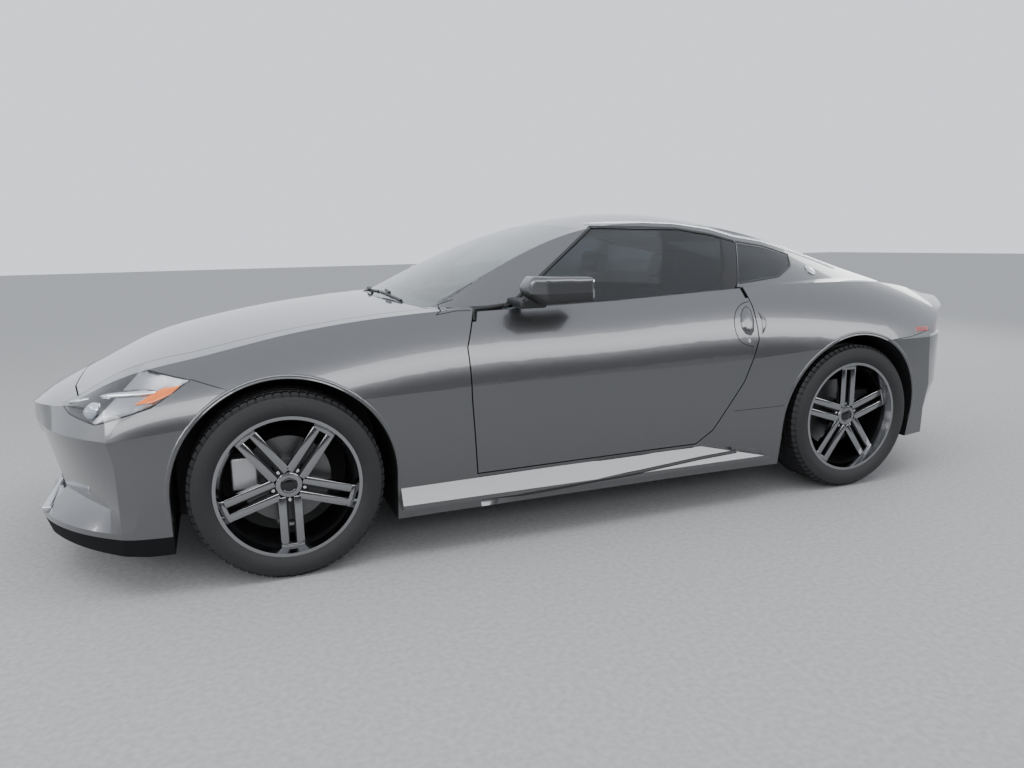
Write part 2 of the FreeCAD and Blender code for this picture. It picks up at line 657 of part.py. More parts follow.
def spoke_bar(sketch, sign):
    """One of the two bars of a twin spoke, which open out towards the rim."""
    draw_polygon(sketch, [
        (f"{sign} * Dims.spokeRoot", "Dims.hubDiscRadius - 25"),
        (f"{sign} * (Dims.spokeRoot + Dims.spokeWidth)", "Dims.hubDiscRadius - 25"),
        (f"{sign} * (Dims.spokeTip + Dims.spokeWidth)", "Dims.rimInnerRadius + 4"),
        (f"{sign} * Dims.spokeTip", "Dims.rimInnerRadius + 4"),
    ])


def make_wheel(label, axle_x, side, spoke_turn):
    body = kept(new_body(label))
    revolved(body, [
        ("Dims.rimFlangeRadius", "Dims.rimHalfWidth"),
        ("Dims.rimFlangeRadius - Dims.rimFlangeWidth", "Dims.rimHalfWidth"),
        ("Dims.rimInnerRadius", "Dims.rimHalfWidth - Dims.rimStepDepth"),
        ("Dims.rimInnerRadius", "-Dims.rimHalfWidth"),
        ("Dims.rimFlangeRadius", "-Dims.rimHalfWidth"),
        ("Dims.rimSeatRadius", "-Dims.rimHalfWidth + Dims.rimFlangeWidth"),
        ("Dims.rimSeatRadius", "Dims.rimHalfWidth - Dims.rimFlangeWidth"),
    ])
    padded(body, XY, lambda sketch: draw_circle(sketch, "0", "0", "Dims.hubDiscRadius"),
           "Dims.wheelDiscThickness", "Dims.hubFace")
    spoke = padded(body, XY, lambda sketch: [spoke_bar(sketch, sign) for sign in (1, -1)],
                   "Dims.spokeDepth", "Dims.hubFace + Dims.wheelDiscThickness - 8")
    patterned(body, spoke, SPOKE_COUNT)
    drilled(body, f"{label}_bore", ("0", "0", "Dims.spigotRadius + Dims.runningGap"),
            "Dims.wheelDiscThickness - Dims.hubCapThickness", "Dims.hubFace")
    lug_hole = drilled(body, f"{label}_lug_hole", ("0", "Dims.lugCircleRadius", "Dims.lugHoleRadius"),
                       "Dims.wheelDiscThickness + Dims.spokeDepth", "Dims.hubFace")
    patterned(body, lug_hole, SPOKE_COUNT)
    turned = Placement(Vector(), Rotation(Vector(0, 0, 1), spoke_turn))
    body.Placement = wheel_placement(axle_x, side).multiply(turned)


def make_tyre(label, axle_x, side):
    body = kept(new_body(label))
    revolved(body, [
        ("Dims.rimSeatRadius", "-Dims.rimHalfWidth + Dims.rimFlangeWidth"),
        ("Dims.rimFlangeRadius + Dims.sidewallStep", "-Dims.tyreHalfWidth"),
        ("Dims.tyreRadius - Dims.shoulderDrop", "-Dims.tyreHalfWidth + 7"),
        ("Dims.tyreRadius", "-Dims.treadHalfWidth"),
        ("Dims.tyreRadius", "Dims.treadHalfWidth"),
        ("Dims.tyreRadius - Dims.shoulderDrop", "Dims.tyreHalfWidth - 7"),
        ("Dims.rimFlangeRadius + Dims.sidewallStep", "Dims.tyreHalfWidth"),
        ("Dims.rimSeatRadius", "Dims.rimHalfWidth - Dims.rimFlangeWidth"),
    ])
    body.Placement = wheel_placement(axle_x, side)


def make_disc(label, axle_x, side):
    """Brake disc with its hat, which is clamped between the hub and the wheel."""
    body = kept(new_body(label))
    revolved(body, [
        ("Dims.spigotRadius + Dims.runningGap", "Dims.hubFace"),
        ("Dims.spigotRadius + Dims.runningGap", "Dims.hubFace - Dims.brakeHatWall"),
        ("Dims.brakeHatRadius - Dims.brakeHatWall", "Dims.hubFace - Dims.brakeHatWall"),
        ("Dims.brakeHatRadius - Dims.brakeHatWall", "Dims.hubFace - Dims.brakeHatDepth - Dims.brakeDiscThickness"),
        ("Dims.brakeDiscRadius", "Dims.hubFace - Dims.brakeHatDepth - Dims.brakeDiscThickness"),
        ("Dims.brakeDiscRadius", "Dims.hubFace - Dims.brakeHatDepth"),
        ("Dims.brakeHatRadius", "Dims.hubFace - Dims.brakeHatDepth"),
        ("Dims.brakeHatRadius", "Dims.hubFace"),
    ])
    body.Placement = wheel_placement(axle_x, side)


for end, axle_x in (("front", FRONT_AXLE), ("rear", REAR_AXLE)):
    for name, side in SIDES.items():
        make_wheel(f"wheel_{end}_{name}", axle_x, side, SPOKE_TURN[end])
        make_tyre(f"tyre_{end}_{name}", axle_x, side)
        make_disc(f"brake_disc_{end}_{name}", axle_x, side)


def bind_placement(item, x, y, z):
    for axis, expression in (("x", x), ("y", y), ("z", z)):
        item.setExpression(f"Placement.Base.{axis}", expression)


def block(name, low, size):
    """A box from its low corner and size, both expressions of the sheet."""
    item = doc.addObject("Part::Box", name)
    for prop, expression in zip(("Length", "Width", "Height"), size):
        item.setExpression(prop, expression)
    bind_placement(item, *low)
    return item


def rod(name, start, axis, radius, length):
    item = doc.addObject("Part::Cylinder", name)
    item.setExpression("Radius", radius)
    item.setExpression("Height", length)
    item.Placement = Placement(Vector(), Rotation(Vector(0, 0, 1), Vector(*axis)))
    bind_placement(item, *start)
    return item


def joined(label, items, cutter=None):
    """One solid from several, less what is cut from them."""
    result = doc.addObject("Part::MultiFuse", f"{label}_joined" if cutter else label)
    result.Shapes = list(items)
    if cutter:
        cut = doc.addObject("Part::Cut", label)
        cut.Base = result
        cut.Tool = cutter
        result = cut
    result.Label = label
    return result


def across(side, inner, width):
    """Low y of a block that starts at the inner half width on the given side."""
    return inner if side > 0 else f"-({inner}) - ({width})"


DISC_INNER = "Dims.trackHalf + Dims.hubFace - Dims.brakeHatDepth - Dims.brakeDiscThickness"
FOOT_WIDTH = "100"
FOOT_HEIGHT = "17"


def knuckle(tag, axle, side, caliper_side, label):
    """Upright with its hub spigot and brake caliper, cut free of the disc."""
    x = f"Dims.{axle}"
    inward = (0, -side, 0)
    foot_z = "Dims.tyreRadius - Dims.ballJointDrop"
    hub_end = f"{side} * (Dims.trackHalf + Dims.hubFace + Dims.wheelDiscThickness - Dims.hubCapThickness)"
    spigot = rod(f"spigot_{tag}", (x, hub_end, "Dims.tyreRadius"), inward, "Dims.spigotRadius",
                 "Dims.wheelDiscThickness + 100")
    flange_y = f"{side} * (Dims.trackHalf + Dims.hubFace - Dims.brakeHatWall - Dims.runningGap)"
    flange = rod(f"hub_flange_{tag}", (x, flange_y, "Dims.tyreRadius"), inward, "Dims.brakeHatRadius - 18", "14")
    upright = block(f"upright_{tag}",
                    (f"{x} - Dims.knuckleHalfWidth",
                     across(side, f"{DISC_INNER} - 62", "Dims.knuckleThickness"), foot_z),
                    ("2 * Dims.knuckleHalfWidth", "Dims.knuckleThickness", "Dims.ballJointDrop + Dims.knuckleTop"))
    foot = block(f"foot_{tag}",
                 (f"{x} - Dims.armHalfWidth", across(side, f"Dims.trackHalf - {FOOT_WIDTH}", FOOT_WIDTH), foot_z),
                 ("2 * Dims.armHalfWidth", FOOT_WIDTH, FOOT_HEIGHT))
    caliper_x = f"{x} - 100 - Dims.caliperLength" if caliper_side < 0 else f"{x} + 100"
    caliper = block(f"caliper_{tag}",
                    (caliper_x, across(side, "Dims.trackHalf - 75", "Dims.caliperWidth"), "Dims.tyreRadius - 20"),
                    ("Dims.caliperLength", "Dims.caliperWidth", "Dims.caliperHeight"))
    bracket_x = f"{x} - 115" if caliper_side < 0 else f"{x} + 40"
    bracket = block(f"bracket_{tag}",
                    (bracket_x, across(side, "Dims.trackHalf - 75", "25"), "Dims.tyreRadius - 10"),
                    ("75", "25", "70"))
    room = rod(f"disc_room_{tag}", (x, f"{side} * ({DISC_INNER} - Dims.caliperClearance)", "Dims.tyreRadius"),
               (0, side, 0), "Dims.brakeDiscRadius + Dims.caliperClearance",
               "Dims.brakeDiscThickness + 2 * Dims.caliperClearance")
    frame = joined(f"{label}_frame", [upright, foot, caliper, bracket], room)
    return joined(label, [frame, spigot, flange])


for name, side in SIDES.items():
    kept(knuckle(f"front_{name}", "frontAxle", side, -1, f"knuckle_front_{name}"))

# Front subframe: a crossmember under the engine with a lower arm to each knuckle's foot.
arm_top = "Dims.tyreRadius - Dims.ballJointDrop - Dims.runningGap"
arm_span = "Dims.trackHalf - 400"
front_frame = [block("front_crossmember",
                     ("Dims.frontAxle - 65", "-Dims.bayHalfWidth + Dims.seatGap",
                      f"{arm_top} - Dims.armThickness"),
                     ("130", "2 * (Dims.bayHalfWidth - Dims.seatGap)",
                      f"Dims.subframeTop - ({arm_top}) + Dims.armThickness"))]
for name, side in SIDES.items():
    front_frame.append(block(f"front_arm_{name}",
                             ("Dims.frontAxle - Dims.armHalfWidth", across(side, "400", arm_span),
                              f"{arm_top} - Dims.armThickness"),
                             ("2 * Dims.armHalfWidth", arm_span, "Dims.armThickness")))
kept(joined("front_subframe", front_frame))

# Rear axle: crossmember, differential, drive shafts, lower arms and the two uprights.
rear_items = [block("rear_crossmember", ("Dims.rearAxle - 90", "-500", "220"),
                    ("180", "1000", "Dims.rearRoomTop - 220")),
              rod("differential", ("Dims.rearAxle", "-110", "Dims.tyreRadius - 20"), (0, 1, 0),
                  "Dims.differentialRadius", "220")]
for name, side in SIDES.items():
    rear_items.append(knuckle(f"rear_{name}", "rearAxle", side, 1, f"rear_knuckle_{name}"))
    rear_span = "Dims.trackHalf - 480"
    rear_items.append(block(f"rear_arm_{name}", ("Dims.rearAxle - 30", across(side, "400", rear_span), "230"),
                            ("60", rear_span, "40")))
    rear_items.append(rod(f"drive_shaft_{name}", ("Dims.rearAxle", f"{side} * 100", "Dims.tyreRadius"),
                          (0, side, 0), "22", "Dims.trackHalf - 180"))
kept(joined("rear_axle", rear_items))

# Engine, gearbox and propeller shaft, as one plain mass.
kept(joined("engine_and_gearbox", [
    block("engine_core", ("Dims.frontAxle + 65.3", "-Dims.engineWidth / 2", "Dims.subframeTop + 20"),
          ("Dims.engineLength - 220", "Dims.engineWidth", "Dims.engineTop - Dims.subframeTop - 20")),
    block("engine_front", ("Dims.frontAxle - 150", "-Dims.engineWidth / 2", "Dims.subframeTop"),
          ("220", "Dims.engineWidth", "Dims.engineTop - Dims.subframeTop")),
    rod("gearbox", ("Dims.frontAxle + 380", "0", "Dims.gearboxHeight"), (1, 0, 0), "Dims.gearboxRadius", "480"),
    rod("propshaft", ("Dims.frontAxle + 850", "0", "Dims.gearboxHeight + 10"), (1, 0, 0), "Dims.propshaftRadius",
        "Dims.wheelBase - 850 - 90 - Dims.runningGap"),
]))

# Exhaust: a crosswise silencer with a round tip on each side.
exhaust_items = [block("muffler", ("Dims.rearAxle + 330", "-500", "Dims.mufflerBottom"),
                       ("300", "1000", "Dims.mufflerRoomTop - Dims.mufflerBottom"))]
for name, side in SIDES.items():
    exhaust_items.append(rod(f"exhaust_tip_{name}",
                             ("Dims.rearAxle + 600", f"{side} * Dims.exhaustTipY", "Dims.exhaustTipZ"), (1, 0, 0),
                             "Dims.exhaustTipRadius", "Dims.exhaustTipEnd - Dims.rearAxle - 600"))
kept(joined("exhaust", exhaust_items))

# Seats: cushion and backrest in one, with a narrower headrest. Side view, x and z.
SEAT = [(-110, 190.3), (-130, 400), (340, 380), (480, 880), (500, 985), (600, 985), (560, 640), (480, 190.3)]
HEADREST = [(495, 975), (540, 1128), (628, 1128), (600, 975)]
for name, side in SIDES.items():
    body = kept(new_body(f"seat_{name}"))
    padded(body, XZ, lambda sketch: draw_polygon(sketch, [(str(a), str(b)) for a, b in SEAT]),
           "Dims.seatWidth", f"{-side} * Dims.seatOffset - Dims.seatWidth / 2")
    padded(body, XZ, lambda sketch: draw_polygon(sketch, [(str(a), str(b)) for a, b in HEADREST]),
           "Dims.headrestWidth", f"{-side} * Dims.seatOffset - Dims.headrestWidth / 2")

# Dashboard with the centre console and the steering column.
DASHBOARD = [(-829.7, 620), (-829.7, 800), (-660, 895), (-500, 890), (-410, 820), (-430, 640), (-560, 600)]
CONSOLE = [(-560, 330.3), (-520, 640), (-430, 640), (-380, 520), (420, 500), (450, 330.3)]
COLUMN_TILT = 22
STEERING_CENTRE = Vector(-330, -dim("seatOffset"), 790)
body = new_body("dashboard_moulding")
padded(body, XZ, lambda sketch: draw_polygon(sketch, [(str(a), str(b)) for a, b in DASHBOARD]),
       "2 * Dims.dashHalfWidth", "-Dims.dashHalfWidth")
padded(body, XZ, lambda sketch: draw_polygon(sketch, [(str(a), str(b)) for a, b in CONSOLE]),
       "Dims.consoleWidth", "-Dims.consoleWidth / 2")
column = Vector(math.cos(math.radians(COLUMN_TILT)), 0, math.sin(math.radians(COLUMN_TILT)))
column_tube = doc.addObject("Part::Cylinder", "steering_column")
column_tube.setExpression("Radius", "Dims.steeringColumnRadius")
column_tube.Height = 140
column_start = STEERING_CENTRE - column * (dim("steeringBossDepth") + seat_gap)
column_tube.Placement = Placement(column_start, Rotation(Vector(0, 0, 1), -column))
kept(joined("dashboard", [body, column_tube]))

# Steering wheel, drawn flat about its own axis and then tilted onto the column.
rim = new_body("steering_rim")
rim_radius = "Dims.steeringWheelRadius"
rim_size = "Dims.steeringRimRadius"
revolved(rim, [
    (f"{rim_radius} + {rim_size}", "0"),
    (f"{rim_radius} + {rim_size} / 2", f"{rim_size} * 0.87"),
    (f"{rim_radius} - {rim_size} / 2", f"{rim_size} * 0.87"),
    (f"{rim_radius} - {rim_size}", "0"),
    (f"{rim_radius} - {rim_size} / 2", f"-{rim_size} * 0.87"),
    (f"{rim_radius} + {rim_size} / 2", f"-{rim_size} * 0.87"),
])
boss = rod("steering_boss", ("0", "0", "-Dims.steeringBossDepth"), (0, 0, 1), "Dims.steeringBossRadius",
           "Dims.steeringBossDepth + 10")
spokes = block("steering_spokes", ("-15", f"-{rim_radius}", "-7"), ("30", f"2 * {rim_radius}", "14"))
steering = kept(joined("steering_wheel", [rim, boss, spokes]))
steering.Placement = Placement(STEERING_CENTRE, Rotation(Vector(0, 0, 1), column))

# Door mirrors on the belt: a foot on the door and a head outboard of it.
MIRROR_HEAD = [(-400, 1010), (-370, 1050), (-125, 1042), (-130, 950), (-330, 945), (-395, 985)]
MIRROR_PLAN = [(-400, 868), (-385, 960), (-330, 1005), (-140, 1000), (-120, 868)]
MIRROR_FOOT = box((-400, 740, 925), (-290, 900, 962))
head = prism(MIRROR_HEAD, "XZ", 850, 1020).common(prism(MIRROR_PLAN, "XY", 900, 1100))
window_zone = side_prism(DOOR_GLASS, WINDOW_INNER, 3).common(box((-2000, 0, 0), (2000, 850, 2000)))
mirror = head.fuse(MIRROR_FOOT).cut([half_form, window_zone])
pair("mirror", max(mirror.Solids, key=lambda solid: solid.Volume))

# Skirts under the doors, each a blade that stands out from the sill.
SKIRT_CROSS = [(800, 180), (900, 196), (903, 214), (868, 284), (800, 284)]
SKIRT_SIDE = [(-884, 100), (-884, 274), (430, 288), (800, 205), (800, 100)]
skirt = prism(SKIRT_CROSS, "YZ", -900, 900).common(side_prism(SKIRT_SIDE, 700)).cut(half_form)
both("side_skirts", max(skirt.Solids, key=lambda solid: solid.Volume))

# Grille: bars that follow the nose in plan, tied by uprights.
GRILLE_BARS = 8
GRILLE_UPRIGHTS = (0, 143, 286, 426)
UPRIGHT_HALF = 3
UPRIGHT_DEPTH = 12


def grille_arc(recess):
    """The plan line of the grille, set in from the nose by recess."""
    edge_y = dim("grilleHalfWidth") - seat_gap
    edge_x = FRONT_END + NOSE_OUTLINES[4][2] + recess
    tip = Vector(FRONT_END + NOSE_OUTLINES[4][1] + recess, 0, dim("grilleBottom"))
    return Part.Arc(Vector(edge_x, -edge_y, tip.z), tip, Vector(edge_x, edge_y, tip.z))


def grille_bar(recess, depth, height):
    front = grille_arc(recess)
    back = grille_arc(recess + depth)
    ends = [Part.makeLine(front.StartPoint, back.StartPoint), Part.makeLine(back.EndPoint, front.EndPoint)]
    wire = Part.Wire([ends[0], back.toShape(), ends[1], front.toShape()])
    return Part.Face(wire).extrude(Vector(0, 0, height))


grille_height = dim("grilleTop") - dim("grilleBottom")
pitch = (grille_height - dim("grilleBarHeight")) / (GRILLE_BARS - 1)
bars = [grille_bar(dim("grilleRecess"), dim("grilleBarDepth"), dim("grilleBarHeight")) for _ in range(GRILLE_BARS)]
bars = [bar.translated(Vector(0, 0, index * pitch)) for index, bar in enumerate(bars)]
curtain = grille_bar(dim("grilleRecess") + 8, UPRIGHT_DEPTH, grille_height)
uprights = []
for upright_y in GRILLE_UPRIGHTS:
    for side in SIDES.values():
        middle = side * upright_y
        post = box((FRONT_END, middle - UPRIGHT_HALF, 0), (FRONT_AXLE, middle + UPRIGHT_HALF, dim("grilleTop")))
        uprights.append(curtain.common(post))
feature("grille", bars[0].fuse(bars[1:] + uprights).removeSplitter())

doc.recompute()
failed = []
for item in doc.Objects:
    if "Invalid" in item.State or "Error" in item.State:
        failed.append(item.Name)
for item in exported:
    if item.Shape.isNull() or not item.Shape.isValid():
        failed.append(item.Label)
if failed:
    raise RuntimeError(f"these objects failed: {failed}")
for item in exported:
    item.Shape.exportStep(os.path.join("parts", f"{item.Label}.step"))
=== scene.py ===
import bpy
from math import atan2, cos, pi, radians, sin, sqrt
from mathutils import Matrix, Vector


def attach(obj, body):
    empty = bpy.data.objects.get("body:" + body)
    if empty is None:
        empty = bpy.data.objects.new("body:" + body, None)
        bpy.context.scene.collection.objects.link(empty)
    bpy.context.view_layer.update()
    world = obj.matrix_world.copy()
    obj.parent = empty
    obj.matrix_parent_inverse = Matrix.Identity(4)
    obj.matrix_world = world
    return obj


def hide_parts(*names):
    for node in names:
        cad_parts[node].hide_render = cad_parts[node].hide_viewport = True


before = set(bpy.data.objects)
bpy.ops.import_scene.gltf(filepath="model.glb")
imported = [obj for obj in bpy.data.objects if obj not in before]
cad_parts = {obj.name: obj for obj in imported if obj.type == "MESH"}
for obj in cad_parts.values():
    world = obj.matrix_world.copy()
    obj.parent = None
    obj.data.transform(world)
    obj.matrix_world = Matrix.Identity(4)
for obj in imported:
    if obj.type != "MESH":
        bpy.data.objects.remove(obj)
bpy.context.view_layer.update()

LEFT_AND_RIGHT = (("left", -1), ("right", 1))


# Painted panels: pressed steel and moulded bumpers in mid-grey metallic paint, under clear lacquer.
# Fine flakes vary the colour and the sheen, and the lacquer lies almost smooth over them. Inside the wheel
# arches the panels are near black: black moulded liners, with painted shade in the wheel wells.
FRONT_AXLE, REAR_AXLE, AXLE_HEIGHT, TRACK_HALF = -1.285, 1.265, 0.339, 0.78
LINER_AND_SHADE_RADIUS = 0.39


def new_finish(name, dark, light, roughness, grain, relief, metallic=0.0):
    """A finish whose colour runs from dark to light over a grain of this size, raised by the relief."""
    finish = bpy.data.materials.new(name)
    finish.use_nodes = True
    nodes, links = finish.node_tree.nodes, finish.node_tree.links
    shader = nodes["Principled BSDF"]
    shader.inputs["Metallic"].default_value = metallic
    shader.inputs["Roughness"].default_value = roughness
    place = nodes.new("ShaderNodeTexCoord")
    place.name = "place"
    noise = nodes.new("ShaderNodeTexNoise")
    noise.name = "grain"
    noise.inputs["Scale"].default_value = 1 / grain
    noise.inputs["Detail"].default_value = 3
    colours = nodes.new("ShaderNodeValToRGB")
    colours.name = "colours"
    colours.color_ramp.elements[0].position = 0.3
    colours.color_ramp.elements[0].color = (*dark, 1)
    colours.color_ramp.elements[1].position = 0.7
    colours.color_ramp.elements[1].color = (*light, 1)
    bump = nodes.new("ShaderNodeBump")
    bump.name = "bump"
    bump.inputs["Strength"].default_value = 0.6
    bump.inputs["Distance"].default_value = relief
    links.new(place.outputs["Object"], noise.inputs["Vector"])
    links.new(noise.outputs["Fac"], colours.inputs["Fac"])
    links.new(colours.outputs["Color"], shader.inputs["Base Color"])
    links.new(noise.outputs["Fac"], bump.inputs["Height"])
    links.new(bump.outputs["Normal"], shader.inputs["Normal"])
    return finish


def adjust(finish, values):
    """Set these values of the finish's shader."""
    for name, value in values.items():
        finish.node_tree.nodes["Principled BSDF"].inputs[name].default_value = value


def dress(finish, *names):
    """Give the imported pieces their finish."""
    for name in names:
        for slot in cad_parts[name].material_slots:
            slot.material = finish


def past_level(finish, axis, level, above):
    """Where the finish lies past a level along an axis, counted from the middle of the car."""
    nodes, links = finish.node_tree.nodes, finish.node_tree.links
    parts = nodes.new("ShaderNodeSeparateXYZ")
    size = nodes.new("ShaderNodeMath")
    size.operation = "ABSOLUTE"
    past = nodes.new("ShaderNodeMath")
    past.operation = "GREATER_THAN" if above else "LESS_THAN"
    past.inputs[1].default_value = level
    links.new(nodes["place"].outputs["Object"], parts.inputs["Vector"])
    links.new(parts.outputs[axis], size.inputs[0])
    links.new(size.outputs[0], past.inputs[0])
    return past.outputs[0]


def calculate(finish, operation, first, second=None, value=None):
    """One step of arithmetic on what a finish's nodes give."""
    step = finish.node_tree.nodes.new("ShaderNodeMath")
    step.operation = operation
    finish.node_tree.links.new(first, step.inputs[0])
    if second is not None:
        finish.node_tree.links.new(second, step.inputs[1])
    if value is not None:
        step.inputs[1].default_value = value
    return step.outputs[0]


def inside_arch(finish, axle_x):
    """Where the finish lies inside the wheel arch round this axle, or straight below it."""
    nodes, links = finish.node_tree.nodes, finish.node_tree.links
    parts = nodes.new("ShaderNodeSeparateXYZ")
    links.new(nodes["place"].outputs["Object"], parts.inputs["Vector"])
    along = calculate(finish, "SUBTRACT", parts.outputs["X"], value=axle_x)
    above = calculate(finish, "SUBTRACT", parts.outputs["Z"], value=AXLE_HEIGHT)
    above = calculate(finish, "MAXIMUM", above, value=0)
    along = calculate(finish, "MULTIPLY", along, along)
    above = calculate(finish, "MULTIPLY", above, above)
    radius = calculate(finish, "SQRT", calculate(finish, "ADD", along, above))
    return calculate(finish, "LESS_THAN", radius, value=LINER_AND_SHADE_RADIUS)


def second_finish(finish, where, colour, metallic, roughness):
    """Where the mask is one, the finish is another one, without a lacquer."""
    nodes, links = finish.node_tree.nodes, finish.node_tree.links
    shader = nodes["Principled BSDF"]
    mixed = nodes.new("ShaderNodeMix")
    mixed.data_type = "RGBA"
    mixed.inputs["B"].default_value = (*colour, 1)
    links.new(where, mixed.inputs["Factor"])
    links.new(nodes["colours"].outputs["Color"], mixed.inputs["A"])
    links.new(mixed.outputs["Result"], shader.inputs["Base Color"])
    for name, second in (("Metallic", metallic), ("Roughness", roughness), ("Coat Weight", 0.0)):
        change = nodes.new("ShaderNodeMapRange")
        change.inputs["To Min"].default_value = shader.inputs[name].default_value
        change.inputs["To Max"].default_value = second
        links.new(where, change.inputs["Value"])
        links.new(change.outputs["Result"], shader.inputs[name])


grey_paint = new_finish("grey_metallic_paint", (0.1, 0.101, 0.105), (0.15, 0.151, 0.156),
                        roughness=0.27, grain=0.0007, relief=0.00001, metallic=0.85)
adjust(grey_paint, {"Coat Weight": 1.0, "Coat Roughness": 0.02})
# Painted shade: the paint turns near black inside the wheel arches, for the liners and the shade in the
# wells.
liners_and_arch_shade = calculate(grey_paint, "MAXIMUM", inside_arch(grey_paint, FRONT_AXLE),
                      inside_arch(grey_paint, REAR_AXLE))
second_finish(grey_paint, liners_and_arch_shade, (0.008, 0.008, 0.009), metallic=0.0, roughness=0.6)
dress(grey_paint, "body_shell", "roof_panel", "hood", "hatch", "door_left", "door_right",
      "front_fender_left", "front_fender_right", "front_bumper", "rear_bumper")


# Sill skirts: painted blades over a lower edge of grained black plastic, like that of grille and diffuser.
# The change lies at one height, so the second finish is chosen by the height on the piece.
skirt_paint = new_finish("skirt_paint", (0.11, 0.111, 0.115), (0.16, 0.161, 0.166),
                         roughness=0.27, grain=0.0007, relief=0.00001, metallic=0.85)
adjust(skirt_paint, {"Coat Weight": 1.0})
SKIRT_PAINT_EDGE = 0.162
below_paint = past_level(skirt_paint, "Z", SKIRT_PAINT_EDGE, above=False)
second_finish(skirt_paint, below_paint, (0.014, 0.014, 0.015), metallic=0.0, roughness=0.5)
dress(skirt_paint, "side_skirts")
black_plastic = new_finish("grained_black_plastic", (0.012, 0.012, 0.013), (0.02, 0.02, 0.022),
                           roughness=0.48, grain=0.0015, relief=0.0002)
dress(black_plastic, "rear_diffuser", "grille")


# Front splitter: a blade of rubbery black plastic under the nose, screwed to the bumper from below.
# Its colour is painted shade: it is darker and duller than the other trim, as the shadow under the nose.
shaded_black_plastic = new_finish("shaded_dull_black_plastic", (0.003, 0.003, 0.004), (0.006, 0.006, 0.007),
                          roughness=0.8, grain=0.0015, relief=0.0002)
adjust(shaded_black_plastic, {"Specular IOR Level": 0.15})
dress(shaded_black_plastic, "front_splitter")


# Glass: a clear laminated windscreen with a faint green tint, and dark privacy glass round the rest.
# It is float glass, so its faces are all but flat, with a slow wave of a few hundredths of a millimetre.
windscreen_glass = new_finish("windscreen_glass", (0.74, 0.82, 0.8), (0.78, 0.85, 0.83),
                              roughness=0.01, grain=0.35, relief=0.00004)
adjust(windscreen_glass, {"Transmission Weight": 1.0, "IOR": 1.5})
dress(windscreen_glass, "windscreen")
privacy_glass = new_finish("privacy_glass", (0.13, 0.15, 0.16), (0.15, 0.17, 0.18),
                           roughness=0.01, grain=0.35, relief=0.00004)
adjust(privacy_glass, {"Transmission Weight": 1.0, "IOR": 1.5})
dress(privacy_glass, "door_glass_left", "door_glass_right", "quarter_glass", "rear_glass")


# Seals and mouldings on the body sides: black rubber round the side glass, and a bright rail above it.
# Each is a rounded strip pressed into the side, bonded or clipped to the panel that it lies on.
def side_surface(x, z, side, names):
    """The outermost point of the named pieces at this place on the car's side."""
    reach = 0.0
    for name in names:
        hit, point, _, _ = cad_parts[name].ray_cast(Vector((x, side * 1.3, z)), Vector((0, -side, 0)))
        if hit and abs(point.y) > abs(reach):
            reach = point.y
    return Vector((x, reach, z)) if reach else None


def choose(piece):
    """Select this piece alone and make it the active one."""
    bpy.ops.object.select_all(action="DESELECT")
    piece.select_set(True)
    bpy.context.view_layer.objects.active = piece


def edit_all():
    """Edit the active piece, with its whole mesh selected."""
    bpy.ops.object.mode_set(mode="EDIT")
    bpy.ops.mesh.select_all(action="SELECT")


def copy_of(source, name):
    """A new piece with a copy of this one's mesh."""
    piece = bpy.data.objects.new(name, source.data.copy())
    bpy.context.scene.collection.objects.link(piece)
    choose(piece)
    return piece


def settle(piece, finish, body, angle=30):
    """Finish a modelled piece: its place goes into its mesh, it is shaded, coloured and set on its body."""
    choose(piece)
    bpy.ops.object.transform_apply()
    bpy.ops.object.shade_smooth_by_angle(angle=radians(angle))
    piece.data.materials.clear()
    piece.data.materials.append(finish)
    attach(piece, body)
    return piece


def tube(name, places, finish, body, radius, closed=False):
    """A round strip of this radius through the places, in order."""
    line = bpy.data.curves.new(name, "CURVE")
    line.dimensions = "3D"
    line.bevel_depth = radius
    line.bevel_resolution = 3
    line.use_fill_caps = True
    spline = line.splines.new("POLY")
    spline.points.add(len(places) - 1)
    spline.use_cyclic_u = closed
    for point, place in zip(spline.points, places):
        point.co = (*place, 1)
    strip = bpy.data.objects.new(name, line)
    bpy.context.scene.collection.objects.link(strip)
    choose(strip)
    bpy.ops.object.convert(target="MESH")
    edit_all()
    bpy.ops.mesh.remove_doubles(threshold=0.0001)
    bpy.ops.mesh.normals_make_consistent(inside=False)
    bpy.ops.object.mode_set(mode="OBJECT")
    settle(bpy.context.active_object, finish, body, angle=40)


STRIP_STEP = 0.03


def lay_strip(name, route, finish, body, names, radius, sunk, closed=False):
    """A rounded strip through x and z points on each side of the car, sunk into the surface it follows."""
    ends = route + route[:1] if closed else route
    for side_name, side in LEFT_AND_RIGHT:
        followed = []
        for (x, z), (next_x, next_z) in zip(ends, ends[1:]):
            steps = max(1, round(sqrt((next_x - x) ** 2 + (next_z - z) ** 2) / STRIP_STEP))
            for step in range(steps):
                share = step / steps
                followed.append((x + (next_x - x) * share, z + (next_z - z) * share))
        if not closed:
            followed.append(route[-1])
        side_panels = [panel.replace("SIDE", side_name) for panel in names]
        points = [side_surface(x, z, side, side_panels) for x, z in followed]
        places = [point - Vector((0, side * sunk, 0)) for point in points if point]
        tube(f"{name}_{side_name}", places, finish, body.replace("SIDE", side_name), radius, closed)


